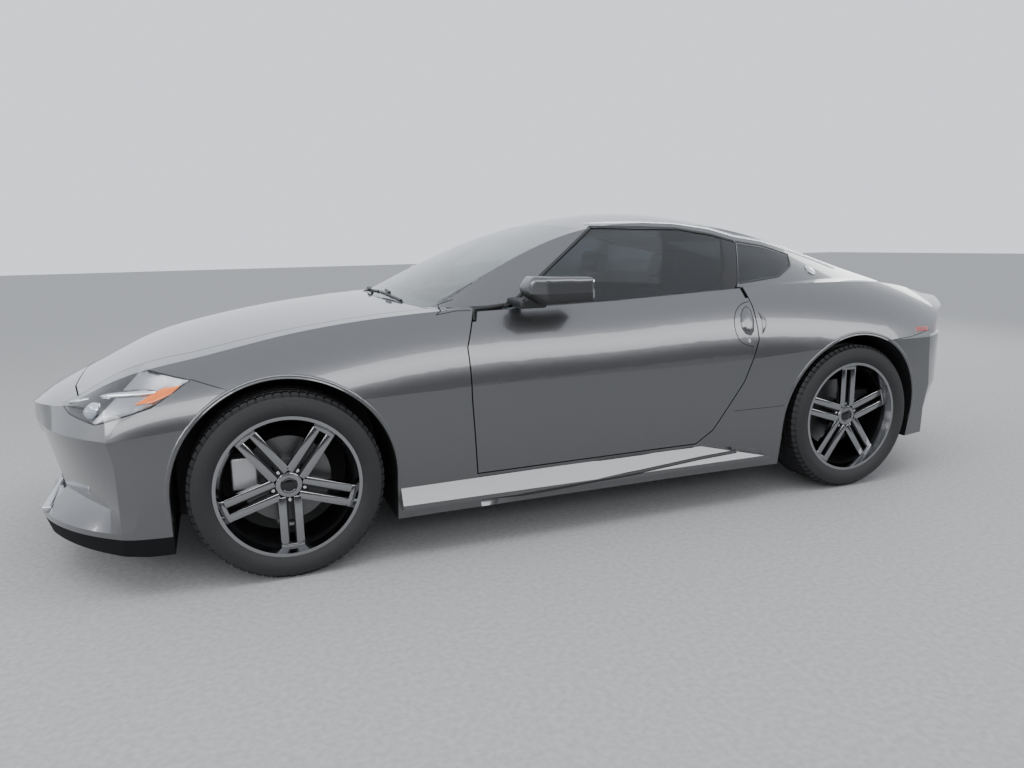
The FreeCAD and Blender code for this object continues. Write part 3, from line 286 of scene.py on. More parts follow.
seal_rubber = new_finish("seal_rubber", (0.008, 0.008, 0.009), (0.016, 0.016, 0.017),
                         roughness=0.38, grain=0.002, relief=0.0001)
bright_rail = new_finish("bright_rail", (0.62, 0.63, 0.65), (0.72, 0.73, 0.75),
                         roughness=0.22, grain=0.004, relief=0.00003, metallic=1.0)
SIDE_PANELS = ["body_shell", "roof_panel", "front_fender_SIDE", "hatch"]
WINDOW_TOP = [(-0.36, 0.948), (-0.15, 1.088), (0.07, 1.233), (0.3, 1.229), (0.5, 1.221), (0.672, 1.193),
              (0.795, 1.159)]
QUARTER_ROUND = [(0.806, 1.156), (0.96, 1.134), (1.108, 1.09), (1.078, 1.04), (0.96, 0.994), (0.72, 0.973)]
RAIL_LINE = [(0.1, 1.252), (0.3, 1.252), (0.5, 1.243), (0.68, 1.217), (0.81, 1.18), (0.96, 1.157),
             (1.12, 1.112), (1.28, 1.063), (1.42, 1.015)]
lay_strip("window_seal", WINDOW_TOP, seal_rubber, "body", SIDE_PANELS,
          radius=0.008, sunk=0.0062)
lay_strip("quarter_seal", QUARTER_ROUND, seal_rubber, "body", SIDE_PANELS,
          radius=0.008, sunk=0.0062)
lay_strip("roof_rail", RAIL_LINE, bright_rail, "body", SIDE_PANELS, radius=0.012, sunk=0.0098)
CORNER_SEAL = [(-0.556, 0.8, 0.878), (-0.553, 0.775, 0.905), (-0.545, 0.76, 0.921), (-0.48, 0.753, 0.924),
               (-0.42, 0.748, 0.929)]
for side_name, side in LEFT_AND_RIGHT:
    tube(f"corner_seal_{side_name}", [Vector((x, side * y, z)) for x, y, z in CORNER_SEAL],
         seal_rubber, "body", radius=0.0105)
# The black panel at the rear of each door glass is cut from the glass's own shape, along its slanted edge.
gloss_black = new_finish("gloss_black", (0.006, 0.006, 0.007), (0.011, 0.011, 0.012),
                         roughness=0.12, grain=0.003, relief=0.000004)
PILLAR_PANEL_WIDTH = 0.075
GLASS_REAR = Vector((0.75, 0, 1.064))
ACROSS_REAR = Vector((0.891, 0, -0.453))
for side_name, _ in LEFT_AND_RIGHT:
    panel = copy_of(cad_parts[f"door_glass_{side_name}"], f"pillar_panel_{side_name}")
    edit_all()
    bpy.ops.mesh.remove_doubles(threshold=0.00002)
    bpy.ops.mesh.bisect(plane_co=GLASS_REAR - ACROSS_REAR * PILLAR_PANEL_WIDTH, plane_no=ACROSS_REAR,
                        clear_inner=True, use_fill=True)
    bpy.ops.mesh.select_all(action="SELECT")
    bpy.ops.transform.shrink_fatten(value=0.0012)
    bpy.ops.object.mode_set(mode="OBJECT")
    panel.data.materials.clear()
    panel.data.materials.append(gloss_black)
    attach(panel, f"{side_name}_door")


# Panel joints and wheel arch lips: fine dark joint lines between bolted panels, and a flat rolled lip
# round each arch, which is part of the wing and the bumper and painted with them.
joint_black = new_finish("joint_black", (0.004, 0.004, 0.004), (0.008, 0.008, 0.008),
                         roughness=0.7, grain=0.002, relief=0.0001)
LOWER_SIDES = ["body_shell", "front_fender_SIDE", "front_bumper", "rear_bumper", "side_skirts"]
JOINTS = {
    "lamp_joint": [(-1.573, 0.742), (-1.5, 0.716), (-1.433, 0.691)],
    "wing_joint": [(-0.705, 0.911), (-0.66, 0.938), (-0.6, 0.957)],
    "sail_joint": [(-0.705, 0.911), (-0.62, 0.922), (-0.54, 0.92)],
    "tail_joint": [(1.43, 0.692), (1.59, 0.70), (1.735, 0.722)],
    "sill_joint": [(0.6, 0.43), (0.75, 0.431), (0.905, 0.431)],
}
for name, route in JOINTS.items():
    lay_strip(name, route, joint_black, "body", LOWER_SIDES, radius=0.0022, sunk=0.0015)
SKIRT_GROOVE = [(-0.84, 0.182), (-0.55, 0.19), (-0.244, 0.202), (0.125, 0.216), (0.43, 0.235), (0.62, 0.242)]
lay_strip("skirt_groove", SKIRT_GROOVE, seal_rubber, "body", ["side_skirts"],
          radius=0.011, sunk=0.0085)
SILL_SHADOW = [(-0.574, 0.28), (-0.2, 0.282), (0.2, 0.284), (0.41, 0.286)]
lay_strip("sill_shadow", SILL_SHADOW, seal_rubber, "body", ["side_skirts", "body_shell"],
          radius=0.0065, sunk=0.0035)
ARCH_LIP_RADIUS, ARCH_LIP_STEP = 0.398, 6
for end, axle_x, first, last in (("front", FRONT_AXLE, -8, 196), ("rear", REAR_AXLE, -8, 192)):
    lip = []
    for turn in range(first, last, ARCH_LIP_STEP):
        lip.append((axle_x + ARCH_LIP_RADIUS * cos(radians(turn)),
                    AXLE_HEIGHT + ARCH_LIP_RADIUS * sin(radians(turn))))
    lay_strip(f"{end}_arch_lip", lip, grey_paint, "body", LOWER_SIDES,
              radius=0.01, sunk=0.0078)


# Wheels: cast alloy with five pairs of spokes, lacquered dark, and turned bright on the faces and the rim.
# Five chromed nuts clamp each to its hub, and a plain black cap closes the middle.
wheel_alloy = new_finish("dark_lacquered_alloy", (0.02, 0.02, 0.022), (0.035, 0.035, 0.037),
                         roughness=0.3, grain=0.0012, relief=0.00003, metallic=0.8)
BRIGHT_FROM_Y = 0.862
turned_bright = past_level(wheel_alloy, "Y", BRIGHT_FROM_Y, above=True)
second_finish(wheel_alloy, turned_bright, (0.3, 0.302, 0.31), metallic=1.0, roughness=0.15)
dark_chrome = new_finish("dark_chrome", (0.25, 0.252, 0.26), (0.33, 0.332, 0.34),
                         roughness=0.15, grain=0.0012, relief=0.00002, metallic=1.0)
nut_chrome = new_finish("nut_chrome", (0.62, 0.62, 0.63), (0.72, 0.72, 0.73),
                        roughness=0.12, grain=0.002, relief=0.00003, metallic=1.0)
WHEELS = [(end, axle_x, side_name, side) for end, axle_x in (("front", FRONT_AXLE), ("rear", REAR_AXLE))
          for side_name, side in LEFT_AND_RIGHT]
ACROSS = (pi / 2, 0, 0)


def modify(piece, kind, **values):
    """Put the active piece through a modifier of this kind, with these values."""
    modifier = piece.modifiers.new("change", kind)
    for name, value in values.items():
        setattr(modifier, name, value)
    bpy.ops.object.modifier_apply(modifier="change")


def round_edges(piece, width, segments):
    """Round the sharp edges of the active piece."""
    modify(piece, "BEVEL", width=width, segments=segments)


def block(name, size, place=(0, 0, 0), turn=(0, 0, 0)):
    """A box of this size, turned about its middle and set in its place."""
    bpy.ops.object.select_all(action="DESELECT")
    bpy.ops.mesh.primitive_cube_add(size=1, location=place, rotation=turn)
    piece = bpy.context.active_object
    piece.name = name
    piece.scale = size
    bpy.ops.object.transform_apply()
    return piece


def disc(name, radius, depth, place, turn, vertices=64, rounding=0.0):
    """A cylinder with its edges rounded this wide, turned about its middle and set in its place."""
    bpy.ops.object.select_all(action="DESELECT")
    bpy.ops.mesh.primitive_cylinder_add(vertices=vertices, radius=radius, depth=depth, location=place,
                                        rotation=turn)
    piece = bpy.context.active_object
    piece.name = name
    if rounding:
        round_edges(piece, width=rounding, segments=3)
    bpy.ops.object.transform_apply()
    return piece


def join_all(pieces):
    """Join the pieces into the first one."""
    choose(pieces[0])
    for piece in pieces:
        piece.select_set(True)
    bpy.ops.object.join()
    return pieces[0]


def choose_faces(piece, wanted):
    """In edit mode, select only the faces whose centre and normal are wanted."""
    bpy.ops.object.mode_set(mode="OBJECT")
    bpy.context.tool_settings.mesh_select_mode = (False, False, True)
    for part in (piece.data.vertices, piece.data.edges):
        part.foreach_set("select", [False] * len(part))
    chosen = [bool(wanted(face.center, face.normal)) for face in piece.data.polygons]
    piece.data.polygons.foreach_set("select", chosen)
    bpy.ops.object.mode_set(mode="EDIT")


def inset_faces(piece, wanted, rings):
    """Draw rings inside the wanted faces. Each lies this far in from the last one, and this far out."""
    choose_faces(piece, wanted)
    for inward, outward in rings:
        bpy.ops.mesh.inset(thickness=inward, depth=outward)
    bpy.ops.object.mode_set(mode="OBJECT")


# The bars' bright faces, the blocks that join each pair at the rim, and the boss round the cap: one casting,
# modelled once and turned to face outwards on each wheel.
BAR_WIDTH, BAR_DEPTH, BAR_OFFSET, BAR_FACE = 0.029, 0.03, 0.0275, 0.0815
BAR_INNER, BAR_OUTER = 0.043, 0.241
RIM_BLOCK_HEIGHT, RIM_BLOCK_PLACE, RIM_BLOCK_SUNK = 0.02, 0.23, 0.001
BOSS_RADIUS, BOSS_DEPTH, BOSS_MIDDLE = 0.047, 0.03, 0.066
spoke_boss = disc("spoke_boss", BOSS_RADIUS, BOSS_DEPTH, (0, -BOSS_MIDDLE, 0), ACROSS, rounding=0.005)
castings = [spoke_boss]
for turn in range(0, 360, 72):
    shapes = [((BAR_WIDTH, BAR_DEPTH, BAR_OUTER - BAR_INNER),
               (offset, BAR_DEPTH / 2 - BAR_FACE, -(BAR_OUTER + BAR_INNER) / 2))
              for offset in (-BAR_OFFSET, BAR_OFFSET)]
    shapes.append(((2 * BAR_OFFSET + BAR_WIDTH, BAR_DEPTH, RIM_BLOCK_HEIGHT),
                   (0, BAR_DEPTH / 2 - BAR_FACE - RIM_BLOCK_SUNK, -RIM_BLOCK_PLACE)))
    for size, place in shapes:
        bar = block("spoke_bar", size, place)
        bpy.ops.transform.rotate(value=radians(turn), orient_axis="Y", center_override=(0, 0, 0))
        round_edges(bar, width=0.004, segments=2)
        castings.append(bar)
join_all(castings)
TURNED = {("front", "left"): (0, 0, 0), ("rear", "left"): (0, pi, 0), ("front", "right"): (pi, 0, 0),
          ("rear", "right"): (0, 0, pi)}
for end, axle_x, side_name, side in WHEELS:
    faces = copy_of(spoke_boss, f"spoke_faces_{end}_{side_name}")
    faces.rotation_euler = TURNED[end, side_name]
    faces.location = (axle_x, side * TRACK_HALF, AXLE_HEIGHT)
    settle(faces, dark_chrome, f"{end}_{side_name}_wheel")
bpy.data.objects.remove(spoke_boss)
CAP_RADIUS, CAP_DEPTH, CAP_OUT = 0.03, 0.012, 0.077
CAP_RINGS = [(0.003, 0.0015), (0.004, -0.002), (0.002, 0.001)]
NUT_RADIUS, NUT_LENGTH, NUT_OUT, NUT_CIRCLE = 0.0078, 0.034, 0.057, 0.05715
for end, axle_x, side_name, side in WHEELS:
    dress(wheel_alloy, f"wheel_{end}_{side_name}")
    cap = disc(f"hub_cap_{end}_{side_name}", CAP_RADIUS, CAP_DEPTH,
               (axle_x, side * (TRACK_HALF + CAP_OUT), AXLE_HEIGHT), ACROSS, vertices=48)
    inset_faces(cap, lambda centre, normal: normal.y * side > 0.9, CAP_RINGS)
    settle(cap, gloss_black, f"{end}_{side_name}_wheel")
    first_nut = 270 if (end == "front") == (side < 0) else 90
    nuts = []
    for turn in range(first_nut, first_nut + 360, 72):
        place = (axle_x + NUT_CIRCLE * cos(radians(turn)), side * (TRACK_HALF + NUT_OUT),
                 AXLE_HEIGHT + NUT_CIRCLE * sin(radians(turn)))
        nuts.append(disc(f"wheel_nuts_{end}_{side_name}", NUT_RADIUS, NUT_LENGTH, place, ACROSS,
                         vertices=6, rounding=0.0018))
    settle(join_all(nuts), nut_chrome, f"{end}_{side_name}_wheel")


# Tyres: black rubber with four grooves round the tread, cross cuts at the shoulders and a ribbed side wall.
# Each is seated on its rim by air pressure.
GROOVE_PLACES = (-0.056, -0.02, 0.02, 0.056)
GROOVE_HALF = 0.0045
CROSS_CUTS = 72
STEPS_ROUND = 4 * CROSS_CUTS
TREAD_WIDTH = 0.196
TREAD_FROM, SHOULDER_FROM = 0.33, 0.325
RING_PITCH, RINGS_TO, RING_RELIEF, GRAIN_RELIEF = 0.0042, 0.322, 0.12, 0.12


def tyre_rubber(name, axle_x):
    """Rubber with fine rings round this axle on the side wall."""
    rubber = new_finish(name, (0.006, 0.006, 0.007), (0.013, 0.013, 0.014),
                        roughness=0.6, grain=0.003, relief=0.002)
    nodes, links = rubber.node_tree.nodes, rubber.node_tree.links
    flat = nodes.new("ShaderNodeMapping")
    flat.inputs["Location"].default_value = (-axle_x, 0, -AXLE_HEIGHT)
    parts = nodes.new("ShaderNodeSeparateXYZ")
    links.new(nodes["place"].outputs["Object"], flat.inputs["Vector"])
    links.new(flat.outputs["Vector"], parts.inputs["Vector"])

    parts_x, parts_z = parts.outputs["X"], parts.outputs["Z"]
    square = calculate(rubber, "ADD", calculate(rubber, "MULTIPLY", parts_x, parts_x),
                       calculate(rubber, "MULTIPLY", parts_z, parts_z))
    radius = calculate(rubber, "SQRT", square)
    ring = calculate(rubber, "SINE", calculate(rubber, "MULTIPLY", radius, value=2 * pi / RING_PITCH))
    on_wall = calculate(rubber, "LESS_THAN", radius, value=RINGS_TO)
    wall = calculate(rubber, "MULTIPLY", on_wall, value=RING_RELIEF)
    grain = calculate(rubber, "MULTIPLY", nodes["grain"].outputs["Fac"], value=GRAIN_RELIEF)
    relief = calculate(rubber, "ADD", calculate(rubber, "MULTIPLY", ring, wall), grain)
    nodes["bump"].inputs["Strength"].default_value = 1.0
    links.new(relief, nodes["bump"].inputs["Height"])
    return rubber


rubbers = {"front": tyre_rubber("tyre_rubber_front", FRONT_AXLE),
           "rear": tyre_rubber("tyre_rubber_rear", REAR_AXLE)}
tyre = disc("tyre", AXLE_HEIGHT, TREAD_WIDTH, (0, 0, 0), ACROSS, vertices=STEPS_ROUND)
choose_faces(tyre, lambda centre, normal: abs(normal.y) > 0.9)
SIDE_WALL = [(0.0075, 0.005), (0.0065, 0.012), (0.016, 0.005), (0.019, 0.0018), (0.016, -0.003),
             (0.017, -0.008), (0.016, -0.0128)]
for inward, outward in SIDE_WALL:
    bpy.ops.mesh.inset(thickness=inward, depth=outward)
bpy.ops.mesh.delete(type="ONLY_FACE")
bpy.context.tool_settings.mesh_select_mode = (False, True, False)
bpy.ops.mesh.select_all(action="DESELECT")
bpy.ops.mesh.select_non_manifold()
bpy.ops.mesh.bridge_edge_loops()
for groove in GROOVE_PLACES:
    for edge in (-GROOVE_HALF, GROOVE_HALF):
        bpy.ops.mesh.select_all(action="SELECT")
        bpy.ops.mesh.bisect(plane_co=(0, groove + edge, 0), plane_no=(0, 1, 0))
choose_faces(tyre, lambda centre, normal: sqrt(centre.x ** 2 + centre.z ** 2) > TREAD_FROM
             and abs(normal.y) < 0.1
             and min(abs(centre.y - groove) for groove in GROOVE_PLACES) < GROOVE_HALF)
bpy.ops.mesh.inset(thickness=0.0012, depth=-0.0065)
choose_faces(tyre, lambda centre, normal: sqrt(centre.x ** 2 + centre.z ** 2) > SHOULDER_FROM
             and abs(centre.y) > GROOVE_PLACES[3] + GROOVE_HALF
             and int(atan2(centre.z, centre.x) / (2 * pi) % 1 * STEPS_ROUND) % 4 == 0)
bpy.ops.mesh.inset(thickness=0.0008, depth=-0.0045)
bpy.ops.object.mode_set(mode="OBJECT")
for end, axle_x, side_name, side in WHEELS:
    road_tyre = copy_of(tyre, f"road_tyre_{end}_{side_name}")
    road_tyre.location = (axle_x, side * TRACK_HALF, AXLE_HEIGHT)
    settle(road_tyre, rubbers[end], f"{end}_{side_name}_wheel", angle=38)
    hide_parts(f"tyre_{end}_{side_name}")
bpy.data.objects.remove(tyre)


# Brakes, knuckles and what carries them: turned iron discs, cast alloy uprights and calipers, and
# pressed steel arms and crossmembers painted satin black, bolted up under the body.
disc_iron = new_finish("turned_disc_iron", (0.1, 0.1, 0.102), (0.17, 0.17, 0.172),
                       roughness=0.36, grain=0.0015, relief=0.00005, metallic=0.9)
dress(disc_iron, *[f"brake_disc_{end}_{side_name}" for end, _, side_name, _ in WHEELS])
cast_alloy = new_finish("cast_alloy", (0.42, 0.42, 0.43), (0.55, 0.55, 0.56),
                        roughness=0.42, grain=0.0018, relief=0.0002, metallic=0.85)


def soften(piece, voxel, factor, rounds):
    """Melt the edges as in a rough casting: the mesh is evened out and then smoothed this many times."""
    modify(piece, "REMESH", mode="VOXEL", voxel_size=voxel)
    modify(piece, "SMOOTH", factor=factor, iterations=rounds)


for side_name, _ in LEFT_AND_RIGHT:
    casting = copy_of(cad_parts[f"knuckle_front_{side_name}"], f"knuckle_casting_{side_name}")
    soften(casting, voxel=0.004, factor=0.5, rounds=10)
    settle(casting, cast_alloy, f"{side_name}_steering_knuckle", angle=60)
    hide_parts(f"knuckle_front_{side_name}")
chassis_black = new_finish("satin_chassis_black", (0.014, 0.014, 0.015), (0.028, 0.028, 0.03),
                           roughness=0.5, grain=0.003, relief=0.0002, metallic=0.3)
dress(chassis_black, "front_subframe", "rear_axle")
engine_alloy = new_finish("sand_cast_engine_alloy", (0.25, 0.25, 0.255), (0.38, 0.38, 0.385),
                          roughness=0.5, grain=0.002, relief=0.0003, metallic=0.8)
dress(engine_alloy, "engine_and_gearbox")
# On the engine: a ribbed black moulded cover with a filler cap, clipped down, an air hose on each side
# running to the nose, and the battery in the corner of the bay.
COVER_MIDDLE_X, COVER_TOP, COVER_DEPTH = -1.15, 0.784, 0.026
RIB_PLACES = (-0.12, -0.06, 0.0, 0.06, 0.12)
BORDER_SHARE, ROUND_SHARE = 0.15, 0.2
covers = [("engine_cover", (0.46, 0.38, COVER_DEPTH), (COVER_MIDDLE_X, 0, COVER_TOP - COVER_DEPTH / 2)),
          ("battery", (0.24, 0.15, 0.16), (-1.02, 0.34, 0.66))]
for place in RIB_PLACES:
    covers.append(("engine_cover_rib", (0.38, 0.018, 0.014), (COVER_MIDDLE_X, place, COVER_TOP)))
mouldings = []
for name, size, place in covers:
    moulding = block(name, size, place)
    inset_faces(moulding, lambda centre, normal: normal.z > 0.9, [(min(size[:2]) * BORDER_SHARE, 0.002)])
    round_edges(moulding, width=min(size) * ROUND_SHARE, segments=3)
    mouldings.append(moulding)
mouldings.append(disc("filler_cap", 0.032, 0.022, (-1.34, 0.13, COVER_TOP + 0.004), (0, 0, 0), vertices=12))
settle(join_all(mouldings), black_plastic, "body")
HOSE_ROUTE = [(-1.2, 0.255, 0.69), (-1.3, 0.285, 0.7), (-1.45, 0.3, 0.68), (-1.6, 0.29, 0.62),
              (-1.75, 0.26, 0.55), (-1.93, 0.22, 0.5)]
for side_name, side in LEFT_AND_RIGHT:
    tube(f"air_hose_{side_name}", [Vector((x, side * y, z)) for x, y, z in HOSE_ROUTE],
         seal_rubber, "body", radius=0.036)
exhaust_steel = new_finish("exhaust_steel", (0.42, 0.4, 0.37), (0.55, 0.53, 0.5),
                           roughness=0.3, grain=0.002, relief=0.00008, metallic=1.0)
dress(exhaust_steel, "exhaust")


# Tailpipes: a rolled bright steel ring round the end of each pipe.
# The ring is welded on. A black disc closes the pipe inside it: soot, and painted shade deep in the pipe.
PIPE_MIDDLE_X, PIPE_OUT_Y, PIPE_HEIGHT = 2.152, 0.47, 0.34
RING_RADIUS, RING_LENGTH = 0.0498, 0.05
RING_MOUTH = [(0.0012, 0.0012), (0.002, 0.0), (0.0012, -0.0012), (0.0003, -0.036)]
SOOT_AND_SHADE_RADIUS, SOOT_AND_SHADE_DEPTH, SOOT_AND_SHADE_BEHIND = 0.0445, 0.004, 0.009
BACKWARDS = (0, pi / 2, 0)
for side_name, side in LEFT_AND_RIGHT:
    ring = disc(f"tailpipe_ring_{side_name}", RING_RADIUS, RING_LENGTH,
                (PIPE_MIDDLE_X, side * PIPE_OUT_Y, PIPE_HEIGHT), BACKWARDS)
    inset_faces(ring, lambda centre, normal: normal.x > 0.9, RING_MOUTH)
    settle(ring, exhaust_steel, "body")
    # Painted shade: a black disc a little inside the ring, for the soot and the dark inside of the pipe.
    soot_and_shade = disc(f"tailpipe_soot_and_shade_{side_name}", SOOT_AND_SHADE_RADIUS, SOOT_AND_SHADE_DEPTH,
                (PIPE_MIDDLE_X - SOOT_AND_SHADE_BEHIND, side * PIPE_OUT_Y, PIPE_HEIGHT), BACKWARDS)
    settle(soot_and_shade, joint_black, "body")


# Headlamps: a clear moulded cover over a gloss black housing, with a silver bowl, a projector lens and an
# orange reflector along the lower edge. The cover is bonded to the housing, which is bolted to the body.
LAMP_WALL = 0.007
clear_cover = new_finish("clear_lamp_cover", (0.93, 0.94, 0.95), (0.96, 0.97, 0.98),
                         roughness=0.01, grain=0.3, relief=0.00003)
adjust(clear_cover, {"Transmission Weight": 1.0, "IOR": 1.12, "Coat Weight": 1.0})
dress(clear_cover, "headlamps")
lamp_silver = new_finish("lamp_silver", (0.66, 0.67, 0.7), (0.8, 0.81, 0.83),
                         roughness=0.14, grain=0.006, relief=0.0003, metallic=1.0)
orange_reflector = new_finish("orange_reflector", (0.75, 0.13, 0.005), (0.9, 0.2, 0.01),
                              roughness=0.18, grain=0.0015, relief=0.0003)
lens_glass = new_finish("projector_glass", (0.55, 0.6, 0.66), (0.7, 0.74, 0.8),
                        roughness=0.02, grain=0.05, relief=0.00002)
adjust(lens_glass, {"Transmission Weight": 0.7})
housing = copy_of(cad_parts["headlamps"], "lamp_housings")
edit_all()
bpy.ops.mesh.remove_doubles(threshold=0.00002)
bpy.ops.transform.shrink_fatten(value=-LAMP_WALL)
bpy.ops.object.mode_set(mode="OBJECT")
lamp_inside = new_finish("lamp_inside", (0.01, 0.01, 0.011), (0.016, 0.016, 0.017),
                         roughness=0.2, grain=0.004, relief=0.00001)
# The bowl is silver behind a slanted line, on which x less z has this value.
BOWL_LINE = -2.5
lamp_nodes, lamp_links = lamp_inside.node_tree.nodes, lamp_inside.node_tree.links
lamp_parts = lamp_nodes.new("ShaderNodeSeparateXYZ")
lamp_links.new(lamp_nodes["place"].outputs["Object"], lamp_parts.inputs["Vector"])
along_lamp = calculate(lamp_inside, "SUBTRACT", lamp_parts.outputs["X"], lamp_parts.outputs["Z"])
in_bowl = calculate(lamp_inside, "GREATER_THAN", along_lamp, value=BOWL_LINE)
second_finish(lamp_inside, in_bowl, (0.34, 0.345, 0.36), metallic=1.0, roughness=0.24)
settle(housing, lamp_inside, "body")


def mirrored(piece, name, finish, body):
    """The same piece for the other side of the car, with its own mesh."""
    twin = copy_of(piece, name)
    twin.data.transform(Matrix.Scale(-1, 4, (0, 1, 0)))
    twin.data.flip_normals()
    return settle(twin, finish, body)


def lamp_bead(name, place, along, size, finish):
    """A smooth swelling in the lamp, long in one direction, for both sides of the car."""
    bpy.ops.object.select_all(action="DESELECT")
    bpy.ops.mesh.primitive_uv_sphere_add(segments=48, ring_count=24, radius=1)
    bead = bpy.context.active_object
    bead.name = f"{name}_left"
    bead.scale = size
    bead.rotation_euler = Vector(along).to_track_quat("X", "Z").to_euler()
    bead.location = place
    bpy.ops.object.transform_apply()
    inset_faces(bead, lambda centre, normal: normal.y < -0.2, [(0.0015, 0.0012)])
    settle(bead, finish, "body", angle=60)
    mirrored(bead, f"{name}_right", finish, "body")


lamp_bead("lamp_bowl", (-1.775, -0.772, 0.695), (0.25, -0.165, 0.03), (0.115, 0.032, 0.02), lamp_silver)
lamp_bead("projector_ring", (-1.878, -0.742, 0.645), (0.2, -0.16, 0), (0.034, 0.034, 0.03), lamp_silver)
lamp_bead("projector_lens", (-1.888, -0.752, 0.643), (0.2, -0.16, 0), (0.028, 0.028, 0.024), lens_glass)
lamp_bead("lamp_strip", (-1.93, -0.655, 0.668), (0.16, -0.14, 0.03), (0.07, 0.012, 0.007), lamp_silver)


PLATE_RINGS, PLATE_RING_WIDTH = 6, 0.14


def lay_plate(name, outline, finish, body, names, sunk, rise, depth):
    """A domed plate on each side of the car. Its outline is given by x and z points in order round it."""
    middle_x = sum(x for x, _ in outline) / len(outline)
    middle_z = sum(z for _, z in outline) / len(outline)
    for side_name, side in LEFT_AND_RIGHT:
        side_panels = [panel.replace("SIDE", side_name) for panel in names]
        bpy.ops.object.select_all(action="DESELECT")
        bpy.ops.mesh.primitive_circle_add(vertices=8 * len(outline), radius=1, fill_type="NGON")
        plate = bpy.context.active_object
        plate.name = f"{name}_{side_name}"
        edit_all()
        for _ in range(PLATE_RINGS):
            bpy.ops.mesh.inset(thickness=PLATE_RING_WIDTH, depth=0)
        bpy.ops.object.mode_set(mode="OBJECT")
        for vertex in plate.data.vertices:
            reach = min(1, vertex.co.length)
            share = atan2(vertex.co.y, vertex.co.x) / (2 * pi) % 1 * len(outline)
            first = int(share) % len(outline)
            (x, z), (next_x, next_z) = outline[first], outline[(first + 1) % len(outline)]
            edge_x = x + (next_x - x) * (share - int(share))
            edge_z = z + (next_z - z) * (share - int(share))
            place_x = middle_x + (edge_x - middle_x) * reach
            place_z = middle_z + (edge_z - middle_z) * reach
            point = side_surface(place_x, place_z, side, side_panels)
            vertex.co = point + Vector((0, side * (rise * (1 - reach ** 4) - sunk), 0))
        edit_all()
        bpy.ops.mesh.extrude_region_move(TRANSFORM_OT_translate={"value": (0.0, -side * depth, 0.0)})
        bpy.ops.mesh.select_all(action="SELECT")
        bpy.ops.mesh.normals_make_consistent(inside=False)
        bpy.ops.object.mode_set(mode="OBJECT")
        settle(plate, finish, body.replace("SIDE", side_name), angle=50)


REFLECTOR = [(-1.753, 0.671), (-1.706, 0.697), (-1.66, 0.721), (-1.607, 0.725), (-1.64, 0.7),
             (-1.698, 0.676)]
lay_plate("orange_reflector", REFLECTOR, orange_reflector, "body", ["headlamps"],
          sunk=0.0035, rise=0.001, depth=0.002)


# Tail lamps: deep red moulded lenses over a ribbed inner face, clipped into the tail.
# A small side marker of the same red plastic is set in each flank, ahead of the bumper's corner.
tail_red = new_finish("tail_lamp_red", (0.2, 0.004, 0.004), (0.34, 0.008, 0.008),
                      roughness=0.1, grain=0.004, relief=0.0008)
adjust(tail_red, {"Coat Weight": 1.0})
dress(tail_red, "tail_lamps")
MARKER = [(1.631, 0.744), (1.735, 0.74), (1.728, 0.716), (1.622, 0.72)]
lay_plate("side_marker", MARKER, tail_red, "body", ["body_shell", "rear_bumper"],
          sunk=0.001, rise=0.003, depth=0.006)


# Nose: a satin silver trim clipped into each lower corner of the grille, and the radiator's fine black
# metal mesh, which stands behind the bars.
def front_surface(y, z):
    """The foremost point of the nose at this place across and up."""
    _, point, _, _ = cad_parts["front_bumper"].ray_cast(Vector((-2.4, y, z)), Vector((1, 0, 0)))
    return point


trim_silver = new_finish("satin_silver_trim", (0.56, 0.57, 0.59), (0.68, 0.69, 0.71),
                         roughness=0.24, grain=0.003, relief=0.00004, metallic=1.0)
TRIM_ACROSS, TRIM_HEIGHT, TRIM_OUT = 0.39, 0.268, 0.011
for side_name, side in LEFT_AND_RIGHT:
    trim_place = front_surface(side * TRIM_ACROSS, TRIM_HEIGHT) + Vector((TRIM_OUT, 0, 0))
    trim = block(f"intake_trim_{side_name}", (0.034, 0.2, 0.034), trim_place, (side * -0.29, 0, side * 0.2))
    round_edges(trim, width=0.007, segments=4)
    settle(trim, trim_silver, "body")
MESH_PITCH = 0.009
radiator_mesh = new_finish("radiator_mesh", (0.004, 0.004, 0.004), (0.02, 0.02, 0.021),
                           roughness=0.5, grain=MESH_PITCH, relief=0.004, metallic=0.4)
bpy.ops.object.select_all(action="DESELECT")
bpy.ops.mesh.primitive_grid_add(x_subdivisions=2, y_subdivisions=40, size=1)
radiator = bpy.context.active_object
radiator.name = "radiator_mesh"
radiator.scale = (0.222, 0.858, 1)
radiator.rotation_euler = BACKWARDS
radiator.location = (-1.985, 0, 0.408)
bpy.ops.object.transform_apply()
modify(radiator, "SOLIDIFY", thickness=0.012)
settle(radiator, radiator_mesh, "body")


# Door mirrors: a moulded and painted cap on a black foot, with the glass facing the tail.
# Each is bolted to the front corner of its door. The cap's grey is painted shade, darker than the body's
# paint, and below its edge the cap is black, for the foot and for painted shade under the cap.
shaded_mirror_paint = new_finish("mirror_cap_paint_and_shade", (0.07, 0.071, 0.075), (0.105, 0.107, 0.112),
                          roughness=0.3, grain=0.0007, relief=0.00001, metallic=0.8)
adjust(shaded_mirror_paint, {"Coat Weight": 1.0})
MIRROR_PAINT_EDGE = 0.985
